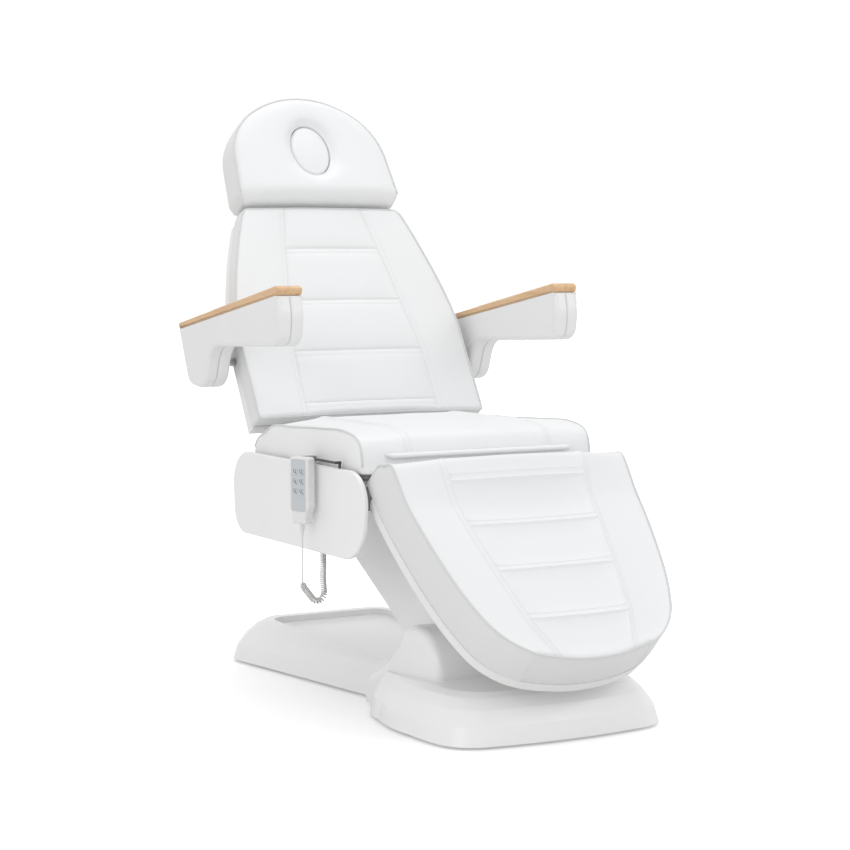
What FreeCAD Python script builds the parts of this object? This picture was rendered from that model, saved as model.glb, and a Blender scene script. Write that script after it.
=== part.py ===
"""Electric treatment chair: lift base, reclining back, leg rest, headrest, armrests and a wired handset.

Frame: +Z up, the foot end towards -Y, the origin on the floor under the middle of the chair. Millimetres.
"""
import FreeCAD, Part
import math
import os
import re
import Sketcher

Vector = FreeCAD.Vector
X_AXIS = Vector(1, 0, 0)
Y_AXIS = Vector(0, 1, 0)
Z_AXIS = Vector(0, 0, 1)
SIDES = (("left", -1), ("right", 1))

# Driving dimensions: lengths in millimetres, angles in degrees
SIZES = {
    # General; places along the chair are measured from a line this far in front of its middle
    "datum_to_middle": 40,
    "overrun": 10,
    "running_clearance": 0.05,
    "seating_gap": 0.3,
    "pin_radius": 8,
    "link_pin_radius": 6,
    "steel_plate": 8,
    "gap_beside_link": 2,
    # Base cover
    "hub_front_margin": 325,
    "base_front_reach": "=hub_reach + hub_front_margin",
    "base_rear_reach": 625,
    "base_front_half": 280,
    "base_rear_half": 242,
    "waist_half": 163,
    "cover_height": 112,
    "cover_rim_gap": 6,
    "deck_height": 107,
    "waist_height": 90,
    "cover_lean": 64,
    "trough_depth": 16,
    "trough_rear_half": 160,
    "trough_rear_margin": 115,
    "slot_half": 118,
    "slot_rear": 140,
    "fender_outer": 200,
    "fender_radius": 100,
    "fender_heel": 220,
    "slot_lip": 30,
    "hollow_half": 134,
    "hollow_height": 64,
    "motor_bay_height": 90,
    "motor_bay_half": 124,
    "hollow_margin": 75,
    # Base frame
    "rail_inner": 96,
    "rail_width": 28,
    "rail_bottom": 12,
    "rail_height": 30,
    "rail_front_margin": 85,
    "rail_rear_margin": 105,
    "rail_front": "=base_front_reach - rail_front_margin",
    "rail_rear": "=base_rear_reach - rail_rear_margin",
    "cross_width": 40,
    "cover_post_radius": 9,
    "floor_foot_radius": 22,
    "floor_foot_height": 8,
    "floor_foot_stem": 6,
    "inlet_width": 50,
    "inlet_height": 28,
    "inlet_depth": 26,
    "inlet_level": 20,
    "inlet_recess": 14,
    "inlet_rim": 4,
    "inlet_blade": 5,
    # Lift linkage
    "hub_height": 112,
    "link_place": 213.5015,
    "link_level": 394.5355,
    "lift_arm_length": 560,
    "lift_arm_angle": "=asin((link_level - hub_height) / lift_arm_length) / 1 deg",
    "hub_reach": "=lift_arm_length * cos(lift_arm_angle) - link_place",
    "tie_offset_back": 45,
    "tie_offset_up": 35,
    "ear_inner": 86,
    "ear_radius": 22,
    "tie_radius": 17,
    "tie_half_width": 9,
    "tie_bar_half": 9,
    "arm_plate_inner": 96,
    "arm_eye_radius": 27,
    "arm_tube_radius": 20,
    "arm_tube_drop": 14,
    "arm_cover_below": 56,
    "arm_cover_above": 84,
    "arm_cover_start": 35,
    "arm_cover_end": 60,
    "cover_wall": 4,
    "arm_cover_side": 8,
    "arm_rib_half": 12,
    "arm_nose_angle": 50,
    # Seat
    "seat_half": 300,
    "seat_top": 636,
    "seat_edge_drop": 9,
    "seat_base": 553,
    "seat_front": 222,
    "seat_rear": 318,
    "seat_corner": 42,
    "seat_board_thickness": 12,
    "seat_rail_inner": 200,
    "seat_rail_width": 28,
    "seat_rail_height": 40,
    "seat_cross_height": 26,
    "seat_cross_width": 30,
    "front_cross_place": 150,
    "middle_cross_place": 40,
    "rear_cross_place": 225,
    "hinge_level": 540,
    "leg_hinge_level": 530,
    "leg_eye_radius": 15,
    "back_hinge_place": 334,
    "leg_hinge_place": 207,
    "hinge_eye_radius": 18,
    "hinge_ear_thickness": 12,
    "seat_hanger_half": 8,
    "flap_half": 238,
    "flap_depth": 11,
    "flap_thickness": 7,
    "flap_level": 578,
    # Side panels, handset hook and control box
    "panel_inner": 305,
    "panel_thickness": 12,
    "panel_half_length": 344,
    "panel_half_height": "=0.285 * panel_half_length",
    "panel_centre": 75,
    "panel_top": 549,
    "panel_edge": 4,
    "spacer_radius": 9,
    "control_inner": 150,
    "control_outer": 298,
    "control_front": 90,
    "control_rear": 70,
    "control_height": 56,
    "socket_radius": 10,
    "hook_radius": 3,
    "hook_front": 142,
    "hook_rear": 6,
    "hook_out": 5,
    "hook_rise": 13,
    # Backrest
    "back_place": 282.6,
    "back_level": 628,
    "back_lean_angle": 60.3,
    "back_half": 310,
    "back_length": 575,
    "back_cushion_depth": 45,
    "back_board_depth": 10,
    "back_depth": 80,
    "shell_wall": 3,
    "shell_inset": 9,
    "back_crown": 10,
    "back_bar_inner": 172,
    "back_bar_width": 28,
    "back_bar_margin": 175,
    "back_bar_reach": "=back_length - back_bar_margin",
    "socket_place": 90,
    "rod_radius": 7,
    "socket_wall": 3,
    "arm_pivot_up": 185,
    "arm_pivot_depth": 66.2,
    "arm_pivot_radius": 10,
    "arm_flange_radius": 22,
    "arm_flange_thickness": 8,
    # Headrest
    "head_gap": 34.4,
    "head_up": "=back_length + head_gap",
    "head_proud": 24.8,
    "head_half": 220,
    "head_length": 270,
    "head_skirt": 28,
    "head_cushion_depth": 83,
    "head_board_depth": 16,
    "head_crown": 12,
    "head_board_inset": 16,
    "rod_in_board": 150,
    "rod_in_socket": 150,
    "face_up": 119,
    "face_half_width": 51,
    "face_half_height": 70,
    "face_ring": 7,
    "face_ring_depth": 5,
    "plug_depth": 60,
    # Armrests
    "arm_inner": 331,
    "arm_half_width": 32,
    "arm_reach": 452,
    "wood_edge": 4,
    "arm_bore_depth": 22,
    # Leg rest
    "leg_place": 292,
    "leg_level": 578,
    "leg_drop_angle": 44.4,
    "leg_half": 300,
    "leg_length": 556,
    "leg_cushion_depth": 88,
    "leg_depth": 118,
    "leg_crown": 9,
    "leg_head_round": 50,
    "leg_shell_inset": 6,
    "leg_shell_start": 34,
    "leg_shell_round": 26,
    "leg_bar_margin": 156,
    "leg_bar_reach": "=leg_length - leg_bar_margin",
    # Cushion seams
    "side_pull": 7,
    "seam_width": 5,
    "seam_depth": 3,
    # Handset
    "handset_width": 58,
    "handset_height": 148,
    "handset_depth": 24,
    "handset_joint": 12,
    "handset_out": 358,
    "handset_place": 30,
    "handset_level": 419,
    "handset_turn_angle": 19,
    "handset_edge": 4,
    "keypad_width": 42,
    "keypad_height": 82,
    "keypad_up": 54,
    "keypad_recess": 1,
    "keypad_sheet": 0.8,
    "key_width": 13,
    "key_height": 12,
    "key_pitch_across": 19,
    "key_pitch_up": 22,
    "key_bottom": 65,
    "key_proud": 1.2,
    "key_length": 4,
    "key_gap": 0.3,
    "key_travel": 0.8,
    "clip_width": 20,
    "clip_reach": 23.5,
    "clip_wall": 2.2,
    "clip_lip": 11,
    "clip_drop": 24,
    "boot_length": 26,
    "boot_top_radius": 6,
    "boot_end_radius": 3.6,
    # Cord
    "lead_radius": 2.5,
    "curl_radius": 8,
    # Motors
    "motor_tube_radius": 17,
    "motor_rod_radius": 9,
    "motor_rod_gap": 0.3,
    "motor_box_half": 21,
    "motor_box_start": 16,
    "motor_box_length": 52,
    "motor_eye_half": 9,
    "motor_eye_radius": 14,
    "rod_eye_radius": 19,
    "rod_eye_slack": 6.6,
    "rod_inside": 40,
    "rod_end_gap": 4,
    "lug_gap": 1,
    "lug_thickness": 6,
    "lift_motor_margin": 95,
    "lift_motor_place": "=base_front_reach - lift_motor_margin",
    "lift_motor_level": 60,
    "lift_lever": 55,
    "lift_lever_angle": -111,
    "lift_stroke": 41,
    "seat_motor_place": 55,
    "seat_motor_level": 478,
    "seat_motor_side": 45,
    "back_lever": 45,
    "back_lever_angle": -67.4,
    "back_stroke": 52,
    "leg_lever": 50,
    "leg_lever_angle": -67.8,
    "leg_stroke": 38,
}

# Half outlines from the lower end to the upper end, as shares of the half width, the length and the half width:
# across, along and the radius of the arc that follows
BACK_SHARES = ((1.0, 0.0, 0), (0.994, 0.417, 0.97), (0.965, 0.532, 5.0), (0.735, 0.958, 0.116),
               (0.632, 1.0, 0))
HEAD_SHARES = ((1.0, 0.0, 0), (0.968, 0.378, 0.736), (0.723, 0.789, 1.136))
LEG_SHARES = ((0.453, 0.966, 0.54), (0.777, 0.806, 2.03), (0.903, 0.567, 5.25), (0.993, 0.036, 0),
              (0.98, 0.0, 0))
LEG_FOOT_RADIUS_SHARE = 1.46
# Cushion side walls: depth share and pull share, from the back face to the piped edge
WALL_SHARES = ((1.0, 1.0), (0.82, 0.2), (0.5, 0.0), (0.18, 0.25), (0.0, 1.0))
# Seams beside the centre panels: across and along, from the lower end to the upper end
BACK_SEAM_SHARES = ((0.577, -0.02), (0.577, 0.058), (0.565, 0.303), (0.49, 0.545), (0.413, 0.788),
                    (0.329, 1.02))
LEG_SEAM_SHARES = ((0.25, 1.02), (0.407, 0.8), (0.48, 0.571), (0.54, 0.344), (0.573, 0.119), (0.587, -0.02))
BACK_CHANNEL_SHARES = (0.058, 0.303, 0.545, 0.788)
LEG_CHANNEL_SHARES = (0.119, 0.344, 0.571, 0.8)
SEAT_SEAM_SHARE = 0.583
FLAP_SEAT_SHARE = 0.965
# Base cover outline from the front end to the rear end: half width, place along, radius, inward move along
BASE_SHARES = (
    ("base_front_half", 0.715, "-base_front_reach", 0.97, 0.32, 1),
    ("base_front_half", 0.972, "-base_front_reach", 0.857, 1.8, 1),
    ("base_front_half", 1.0, "-base_front_reach", 0.669, 1.4, 0),
    ("base_front_half", 0.943, "-base_front_reach", 0.381, 0.6, 0),
    ("base_front_half", 0.79, "-base_front_reach", 0.2, -0.62, 0),
    ("waist_half", 1.0, "base_rear_reach", 0.02, 0, 0),
    ("base_rear_half", 1.0, "base_rear_reach", 0.91, 0.26, -1),
    ("base_rear_half", 0.78, "base_rear_reach", 1.0, 0, -1),
)
COVER_WALL_SHARES = ((0.0, 0.0), (0.36, 0.13), (0.66, 0.4), (0.86, 0.68), (1.0, 1.0))
# Armrest corners about its pivot, as shares of its reach: across, up and the radius that rounds each corner
ARM_CORNER_SHARES = (
    (0.246, 0.17, 0), (-0.99, 0.371, 0.075), (-1.013, 0.123, 0.115), (-0.146, 0.091, 0.122),
    (-0.066, -0.139, 0.11),
    (0.144, -0.117, 0.088),
)
WOOD_SHARES = ((0.246, 0.1705, 0), (0.27, 0.2, 0), (-0.92, 0.4165, 0.03), (-0.96, 0.4, 0.03),
               (-0.945, 0.3645, 0))
# Side panel corners about its centre, as shares of its half length
PANEL_CORNER_SHARES = (
    (0.942, -0.285, 0.174), (0.985, 0.285, 0.232), (-1.003, 0.285, 0.209), (-0.951, -0.285, 0.276),
)
SPACER_SHARES = ((-0.66, 0.66), (0.3, 0.66))
# Seat cushion profile from the lower rear corner: reach, share of it, height share and radius share
SEAT_PROFILE_SHARES = (
    ("seat_rear", 1.0, 0.0, 0), ("seat_rear", 0.955, 0.5, 0.2), ("seat_rear", 0.82, 0.72, 0),
    ("seat_rear", 0.69, 1.0, 0),
    ("-seat_front", 0.2, 1.0, 2.0), ("-seat_front", 0.76, 0.8, 0.16), ("-seat_front", 0.955, 0.43, 0),
    ("-seat_front", 0.985, 0.0, 0),
)
# Handset outline from its lower end, as shares of half width and height
HANDSET_SHARES = ((0.34, 0.0, 0.25), (0.66, 0.075, 0), (0.86, 0.2, 0.6), (1.0, 0.34, 0), (1.0, 0.955, 0.25),
                  (0.76, 1.0, 0))

# Cord: the handset's lead, then the curled length that turns up behind the side panel to its socket
LEAD_ROUTE = ((-346.7, -26, 393), (-346.7, -26, 366), (-345.6, -21, 332), (-344, -15, 298),
              (-343.6, -14, 284))
CURL_ROUTE = (
    (-343.6, -14, 284), (-342.8, -12, 256), (-316, -14, 241), (-289.5, -13, 256), (-288.5, -11, 286),
    (-287.5, -12, 318), (-287, -10, 350), (-286.5, -11.5, 382), (-286, -10.5, 410), (-286, -10.5, 433),
)

doc = FreeCAD.newDocument("treatment_chair")
sheet = doc.addObject("Spreadsheet::Sheet", "Sizes")
for row, alias in enumerate(SIZES, 1):
    sheet.set(f"A{row}", alias)
    sheet.setAlias(f"B{row}", alias)
for row, value in enumerate(SIZES.values(), 1):
    sheet.set(f"B{row}", str(value))
doc.recompute()

WORD = re.compile(r"[a-z_]+")
parts = []


def bind(text):
    """Turns size names into references to the sheet's cells."""
    return WORD.sub(lambda word: f"Sizes.{word.group()}" if word.group() in SIZES else word.group(), text)


def number(text):
    """The value of an expression of size names."""
    return float(sheet.evalExpression(bind(text)))


def points_of(corners):
    """Evaluates corners of (across, along[, radius]) expressions."""
    return [tuple(number(value) for value in corner) for corner in corners]


def arc_centre(start, end, radius):
    """Centre of the minor arc that leaves start, bulging to the right for a positive radius."""
    chord = math.hypot(end[0] - start[0], end[1] - start[1])
    height = math.sqrt(max(radius * radius - chord * chord / 4, 0)) * (1 if radius > 0 else -1)
    left = (-(end[1] - start[1]) / chord, (end[0] - start[0]) / chord)
    return (start[0] + end[0]) / 2 + left[0] * height, (start[1] + end[1]) / 2 + left[1] * height


def both_sides(half, closing="0"):
    """Mirrors a half outline about the middle line; the closing edge joins its two lower ends."""
    other = [(f"-({x})", y) for x, y, _ in reversed(half)]
    radii = [radius for _, _, radius in reversed(half[:-1])] + [closing]
    return list(half) + [(x, y, radius) for (x, y), radius in zip(other, radii)]


def by_shares(shares, across, along, bend=None, start="0", inset="0"):
    """Corners from a table of shares of two sizes, moved inwards by an inset."""
    bend = bend or across
    return [(f"{x} * {across} - ({inset})", f"{start} + {y} * {along}", f"{radius} * {bend}") for x, y,
            radius in shares]


def rounded(corners):
    """Anticlockwise corners with rounding radii, turned into the ends of tangent arcs."""
    result = []
    following = corners[1:] + corners[:1]
    for before, (x, y, radius), after in zip(corners[-1:] + corners[:-1], corners, following):
        corner = Vector(x, y, 0)
        if radius == 0:
            result.append((x, y, 0))
            continue
        back = (Vector(before[0], before[1], 0) - corner).normalize()
        ahead = (Vector(after[0], after[1], 0) - corner).normalize()
        trim = radius / math.tan(back.getAngle(ahead) / 2)
        enter = corner + back * trim
        leave = corner + ahead * trim
        bulge = radius if ahead.cross(back).z > 0 else -radius
        result.append((round(enter.x, 6), round(enter.y, 6), bulge))
        result.append((round(leave.x, 6), round(leave.y, 6), 0))
    return tuple(result)


def rectangle(x_low, y_low, x_high, y_high):
    return [(x_low, y_low, "0"), (x_high, y_low, "0"), (x_high, y_high, "0"), (x_low, y_high, "0")]


def new_body(label):
    body = doc.addObject("PartDesign::Body", label)
    body.Label = label
    parts.append(body)
    return body


def new_sketch(body, role, lift):
    sketch = body.newObject("Sketcher::SketchObject", "Outline")
    plane = next(item for item in body.Origin.OriginFeatures if item.Role == role)
    sketch.AttachmentSupport = [(plane, "")]
    sketch.MapMode = "FlatFace"
    sketch.setExpression("AttachmentOffset.Base.z", bind(lift))
    return sketch


def constrain(sketch, kind, expression, *where):
    index = sketch.addConstraint(Sketcher.Constraint(kind, *where, number(expression)))
    sketch.setExpression(f"Constraints[{index}]", bind(expression))


def draw_outline(sketch, corners):
    """A closed outline whose every corner and radius is bound to the sheet."""
    points = points_of(corners)
    starts = []
    for index, start in enumerate(points):
        end = points[(index + 1) % len(points)]
        radius = start[2]
        if radius:
            centre = arc_centre(start, end, radius)
            first, last = (start, end) if radius > 0 else (end, start)
            low = math.atan2(first[1] - centre[1], first[0] - centre[0])
            high = math.atan2(last[1] - centre[1], last[0] - centre[0])
            circle = Part.Circle(Vector(*centre, 0), Z_AXIS, abs(radius))
            sketch.addGeometry(Part.ArcOfCircle(circle, low, high), False)
            starts.append((1, 2) if radius > 0 else (2, 1))
        else:
            sketch.addGeometry(Part.LineSegment(Vector(*start[:2], 0), Vector(*end[:2], 0)), False)
            starts.append((1, 2))
    for index, (corner, point) in enumerate(zip(corners, points)):
        following = (index + 1) % len(corners)
        sketch.addConstraint(Sketcher.Constraint("Coincident", index, starts[index][1], following,
                                                 starts[following][0]))
        constrain(sketch, "DistanceX", corner[0], -1, 1, index, starts[index][0])
        constrain(sketch, "DistanceY", corner[1], -1, 1, index, starts[index][0])
        if point[2]:
            constrain(sketch, "Radius", corner[2] if point[2] > 0 else f"-({corner[2]})", index)


def draw_circles(sketch, circles):
    for index, (x, y, radius) in enumerate(circles):
        place = Vector(number(x), number(y), 0)
        sketch.addGeometry(Part.Circle(place, Z_AXIS, number(radius)), False)
        constrain(sketch, "DistanceX", x, -1, 1, index, 3)
        constrain(sketch, "DistanceY", y, -1, 1, index, 3)
        constrain(sketch, "Radius", radius, index)


def extrude(body, kind, role, low, high, outlines=(), circles=()):
    """Pads between two levels, or pockets down from the upper one."""
    sketch = new_sketch(body, role, low if kind == "Pad" else high)
    for corners in outlines:
        draw_outline(sketch, corners)
    if circles:
        draw_circles(sketch, circles)
    feature = body.newObject(f"PartDesign::{kind}", kind)
    feature.Profile = (sketch, [""])
    feature.setExpression("Length", bind(f"({high}) - ({low})"))
    sketch.Visibility = False
    body.Tip = feature
    return feature


def pad(body, role, low, high, corners):
    return extrude(body, "Pad", role, low, high, outlines=(corners,))


def pocket(body, role, low, high, corners):
    return extrude(body, "Pocket", role, low, high, outlines=(corners,))


def discs(body, role, low, high, *circles):
    return extrude(body, "Pad", role, low, high, circles=circles)


def bores(body, role, low, high, *circles):
    return extrude(body, "Pocket", role, low, high, circles=circles)


def block(body, x_low, x_high, y_low, y_high, z_low, z_high):
    return pad(body, "XY_Plane", z_low, z_high, rectangle(x_low, y_low, x_high, y_high))


def round_edges(body, radius, chosen):
    """Fillets the tip's edges that the test picks."""
    doc.recompute()
    base = body.Tip
    names = [f"Edge{index}" for index, edge in enumerate(base.Shape.Edges, 1) if chosen(edge)]
    feature = body.newObject("PartDesign::Fillet", "Fillet")
    feature.Base = (base, names)
    feature.setExpression("Radius", bind(radius))
    body.Tip = feature
    return feature


def at_level(axis, level):
    """Picks edges that lie in a plane square to the axis."""
    wanted = number(level)

    def test(edge):
        box = edge.BoundBox
        low, high = (box.XMin, box.XMax) if axis is X_AXIS else (box.ZMin, box.ZMax)
        return abs(low - wanted) < 0.01 and abs(high - wanted) < 0.01
    return test


def add_shape(label, shape, placement=None):
    feature = doc.addObject("Part::Feature", label)
    feature.Label = label
    feature.Shape = shape
    if placement:
        feature.Placement = placement
    parts.append(feature)
    return feature


def wire_at(points, level):
    """A closed wire of lines and arcs at one level."""
    edges = []
    for index, start in enumerate(points):
        end = points[(index + 1) % len(points)]
        first = Vector(start[0], start[1], level)
        last = Vector(end[0], end[1], level)
        if start[2]:
            centre = arc_centre(start, end, start[2])
            middle = Vector((first.x + last.x) / 2, (first.y + last.y) / 2, level)
            away = middle - Vector(*centre, level)
            if away.Length < 1e-6:
                away = Vector(end[1] - start[1], start[0] - end[0], 0)
            top = Vector(*centre, level) + away.normalize() * abs(start[2])
            edges.append(Part.Arc(first, top, last).toShape())
        else:
            edges.append(Part.LineSegment(first, last).toShape())
    return Part.Wire(edges)


def prism(points, low, high):
    return Part.Face(wire_at(points, low)).extrude(Vector(0, 0, high - low))


def side_prism(points, half_width):
    """A solid from a profile of (along, height) points, across the whole width."""
    shape = prism(points, -half_width, half_width)
    shape.rotate(Vector(0, 0, 0), Vector(1, 1, 1), 120)
    return shape


def pin(place, half_length, radius, centre_x=0):
    """A pin along X at (along, height)."""
    start = Vector(centre_x - half_length, place[0], place[1])
    return Part.makeCylinder(radius, 2 * half_length, start, X_AXIS)


def seam(start, end, width, low, high):
    """A straight strip between two plan points, which cuts a seam."""
    run = Vector(end[0] - start[0], end[1] - start[1], 0)
    across = Vector(-run.y, run.x, 0).normalize() * (width / 2)
    first = Vector(start[0], start[1], low)
    last = Vector(end[0], end[1], low)
    corners = [first - across, last - across, last + across, first + across, first - across]
    return Part.Face(Part.makePolygon(corners)).extrude(Vector(0, 0, high - low))


def crown_bar(radius, top, low, high):
    """A long cylinder along Y whose top line is at the given level."""
    return Part.makeCylinder(radius, high - low, Vector(0, low, top - radius), Y_AXIS)


def crown_radius(half_width, rise):
    return (half_width ** 2 + rise ** 2) / (2 * rise)


def cushion(sections, profile, half_width, crown, span, seams):
    """A padded solid: pulled-in side walls, a side profile, a crowned face and pressed seams."""
    shape = Part.makeLoft(sections, True, True)
    if profile:
        shape = shape.common(side_prism(profile, half_width + number("overrun")))
    radius = crown_radius(half_width, crown)
    low, high = span
    shape = shape.common(crown_bar(radius, crown, low, high))
    depth = number("seam_depth")
    keep = crown_bar(radius - depth, crown - depth, low, high)
    for strip in seams:
        shape = shape.cut(strip.cut(keep))
    return shape.removeSplitter()


def wall_sections(corner_maker, depth, top):
    """Cushion sections from the back face to above the crown."""
    pull = number("side_pull")
    levels = [(-depth * share, pull * drawn) for share, drawn in WALL_SHARES]
    levels.append((top, pull * 2))
    return [wire_at(corner_maker(inset), level) for level, inset in levels]


def seam_strips(seam_points, channel_levels, low, high):
    """Two mirrored seams, and the channels that run across between them."""
    width = number("seam_width")
    strips = []
    for side in (-1, 1):
        for start, end in zip(seam_points, seam_points[1:]):
            strips.append(seam((side * start[0], start[1]), (side * end[0], end[1]), width, low, high))
    for level in channel_levels:
        half = half_at(seam_points, level)
        strips.append(seam((-half, level), (half, level), width, low, high))
    return strips


def half_at(seam_points, level):
    """Half width between the seams at one place along them."""
    for (x_one, y_one), (x_two, y_two) in zip(seam_points, seam_points[1:]):
        if min(y_one, y_two) <= level <= max(y_one, y_two):
            return x_one + (x_two - x_one) * (level - y_one) / (y_two - y_one)
    return seam_points[0][0]


def tilted(across, along, height, angle):
    return FreeCAD.Placement(Vector(across, along, height), FreeCAD.Rotation(X_AXIS, angle))


# Places that several pieces share
HUB = ("-hub_reach", "hub_height")
HUB_TIE = ("-hub_reach - tie_offset_back", "hub_height + tie_offset_up")
RISE = ("link_place", "link_level")
RISE_TIE = (f"({RISE[0]} - tie_offset_back)", f"({RISE[1]} + tie_offset_up)")
BACK_HINGE = ("back_hinge_place", "hinge_level")
LEG_HINGE = ("-leg_hinge_place", "leg_hinge_level")
SEAT_MOTOR = ("seat_motor_place", "seat_motor_level")
LIFT_MOTOR = ("-lift_motor_place", "lift_motor_level")


def lever_end(hinge, lever):
    return (f"({hinge[0]} + {lever} * cos({lever}_angle))", f"({hinge[1]} + {lever} * sin({lever}_angle))")


LIFT_LEVER = lever_end(HUB, "lift_lever")
BACK_LEVER = lever_end(BACK_HINGE, "back_lever")
LEG_LEVER = lever_end(LEG_HINGE, "leg_lever")
SEAT_RAIL_BOTTOM = "seat_base - seat_board_thickness - seat_rail_height"
SEAT_RAIL_TOP = "seat_base - seat_board_thickness"
PIN_BORE = "pin_radius + running_clearance"
LINK_BORE = "link_pin_radius + running_clearance"
LUG_OUTER = "motor_eye_half + lug_gap + lug_thickness"

lean = tilted(0, number("back_place"), number("back_level"), number("back_lean_angle"))
head_lean = lean.multiply(FreeCAD.Placement(Vector(0, number("head_up"), number("head_proud")),
                                            FreeCAD.Rotation()))
drop = tilted(0, -number("leg_place"), number("leg_level"), number("leg_drop_angle"))
lift = tilted(0, -number("hub_reach"), number("hub_height"), number("lift_arm_angle"))


def in_tilt(place, origin, angle):
    """Expressions of a shared place in a frame tilted about X, with its origin at a shared place."""
    along = f"(({place[0]}) - ({origin[0]}))"
    height = f"(({place[1]}) - ({origin[1]}))"
    return (f"({along} * cos({angle}) + {height} * sin({angle}))",
            f"({height} * cos({angle}) - {along} * sin({angle}))")


BACK_ORIGIN = ("back_place", "back_level")
LEG_ORIGIN = ("-leg_place", "leg_level")


def base_outline(inset):
    """Plan of the base cover, moved inwards by an inset."""
    half = []
    for width, share, reach, along_share, bend, inward in BASE_SHARES:
        x = share * number(width) - inset
        y = along_share * number(reach) + inward * inset
        half.append((x, y, bend * number(width)))
    mirrored = [(-x, y) for x, y, _ in reversed(half)]
    radii = [radius for _, _, radius in reversed(half[:-1])] + [number("base_front_reach") * 2]
    return half + [(x, y, radius) for (x, y), radius in zip(mirrored, radii)]


def make_base_cover():
    rim = number("cover_rim_gap")
    height = number("cover_height") - rim
    lean_in = number("cover_lean")
    over = number("overrun")
    sections = [wire_at(base_outline(lean_in * drawn), rim + height * share) for share,
                drawn in COVER_WALL_SHARES]
    cover = Part.makeLoft(sections, True, True)
    front = -number("base_front_reach")
    rear = number("base_rear_reach")
    hub_y = -number("hub_reach")
    hub_z = number("hub_height")
    deck = number("deck_height")
    waist = number("waist_height")
    top = number("cover_height")
    heel = number("fender_heel")
    above = [(rear + over, top, 0), (rear + over, top + over, 0), (front - over, top + over, 0),
             (front - over, deck, 0), (hub_y - number("fender_radius"), deck, 0), (hub_y + heel, waist, 0),
             (hub_y + heel * 1.5, waist, 0)]
    cover = cover.cut(side_prism(above, number("base_front_half")))
    # Fenders beside the lift arm's hub: a rounded top that runs down to the waist
    radius = number("fender_radius")
    tangent = math.radians(60)
    crest = (hub_y + radius * math.cos(tangent), hub_z + radius * math.sin(tangent))
    fender = [(hub_y - radius, rim, 0), (hub_y + heel, rim, 0), (hub_y + heel, waist / 2, 0),
              (hub_y + heel * 0.88, waist * 0.9, -radius * 3), (crest[0], crest[1], radius),
              (hub_y, hub_z + radius, radius), (hub_y - radius, hub_z, 0)]
    for side in (-1, 1):
        inner = side * number("slot_half")
        outer = side * number("fender_outer")
        piece = side_prism(fender, (number("fender_outer") - number("slot_half")) / 2)
        piece.translate(Vector((inner + outer) / 2, 0, 0))
        tops = [edge for edge in piece.Edges if edge.BoundBox.ZMin > waist * 0.8
                and abs(edge.BoundBox.XMin - outer) < 0.1 and edge.BoundBox.XLength < 0.1]
        piece = piece.makeFillet(number("fender_radius") * 0.2, tops)
        cover = cover.fuse(piece)
    half = number("slot_half")
    slot_front = hub_y - number("fender_radius") + number("cover_wall")
    slot = Part.makeBox(2 * half, -number("slot_rear") - slot_front, hub_z * 3, Vector(-half, slot_front, 0))
    cover = cover.cut(slot)
    # A low wall between the fenders closes the slot's front
    lip_top = hub_z + number("slot_lip")
    lip = Part.makeBox(2 * half, slot_front - hub_y + radius, lip_top - rim,
                       Vector(-half, hub_y - radius, rim))
    cover = cover.fuse(side_prism(fender, half).common(lip))
    # The sunk deck behind the hub
    depth = number("trough_depth")
    rear_half = number("trough_rear_half")
    margin = number("trough_rear_margin")
    trough_plan = [(-half, -number("slot_rear") - over, 0), (half, -number("slot_rear") - over, 0),
                   (rear_half, rear - margin, rear_half * 0.3), (rear_half * 0.8, rear - margin * 0.75, 0),
                   (-rear_half * 0.8, rear - margin * 0.75, rear_half * 0.3), (-rear_half, rear - margin, 0)]
    trough_side = [(-number("slot_rear") - 2 * over, waist - depth, 0), (rear, top - depth, 0),
                   (rear, top * 2, 0),
                   (-number("slot_rear") - 2 * over, top * 2, 0)]
    cover = cover.cut(prism(trough_plan, 0, top * 2).common(side_prism(trough_side, rear_half)))
    hollow_half = number("hollow_half")
    margin = number("hollow_margin")
    hollow = Part.makeBox(2 * hollow_half, rear - front - 2 * margin, number("hollow_height"),
                          Vector(-hollow_half, front + margin, 0))
    cover = cover.cut(hollow)
    bay = number("motor_bay_half")
    cover = cover.cut(Part.makeBox(2 * bay, slot_front - front - margin + over, number("motor_bay_height"),
                                   Vector(-bay, front + margin, 0)))
    cover = cover.cut(inlet_block(number("base_rear_reach") - number("inlet_depth"), number("overrun")))
    add_shape("base_cover", cover.removeSplitter())


def inlet_block(front, extra):
    width = number("inlet_width")
    return Part.makeBox(width, number("inlet_depth") + extra, number("inlet_height"),
                        Vector(-width / 2, front, number("inlet_level")))


def make_mains_inlet():
    rim = number("inlet_rim")
    width = number("inlet_width")
    height = number("inlet_height")
    level = number("inlet_level")
    face = number("base_rear_reach")
    recess = number("inlet_recess")
    shape = inlet_block(face - number("inlet_depth"), 0)
    shape = shape.cut(Part.makeBox(width - 2 * rim, recess, height - 2 * rim,
                                   Vector(rim - width / 2, face - recess, level + rim)))
    blade = number("inlet_blade")
    for place in (-2, 0, 2):
        shape = shape.fuse(Part.makeBox(blade / 2, recess - rim / 2, blade,
                                        Vector(place * blade - blade / 4, face - recess,
                                               level + height / 2 - blade / 2)))
    add_shape("mains_inlet", shape)


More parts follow.
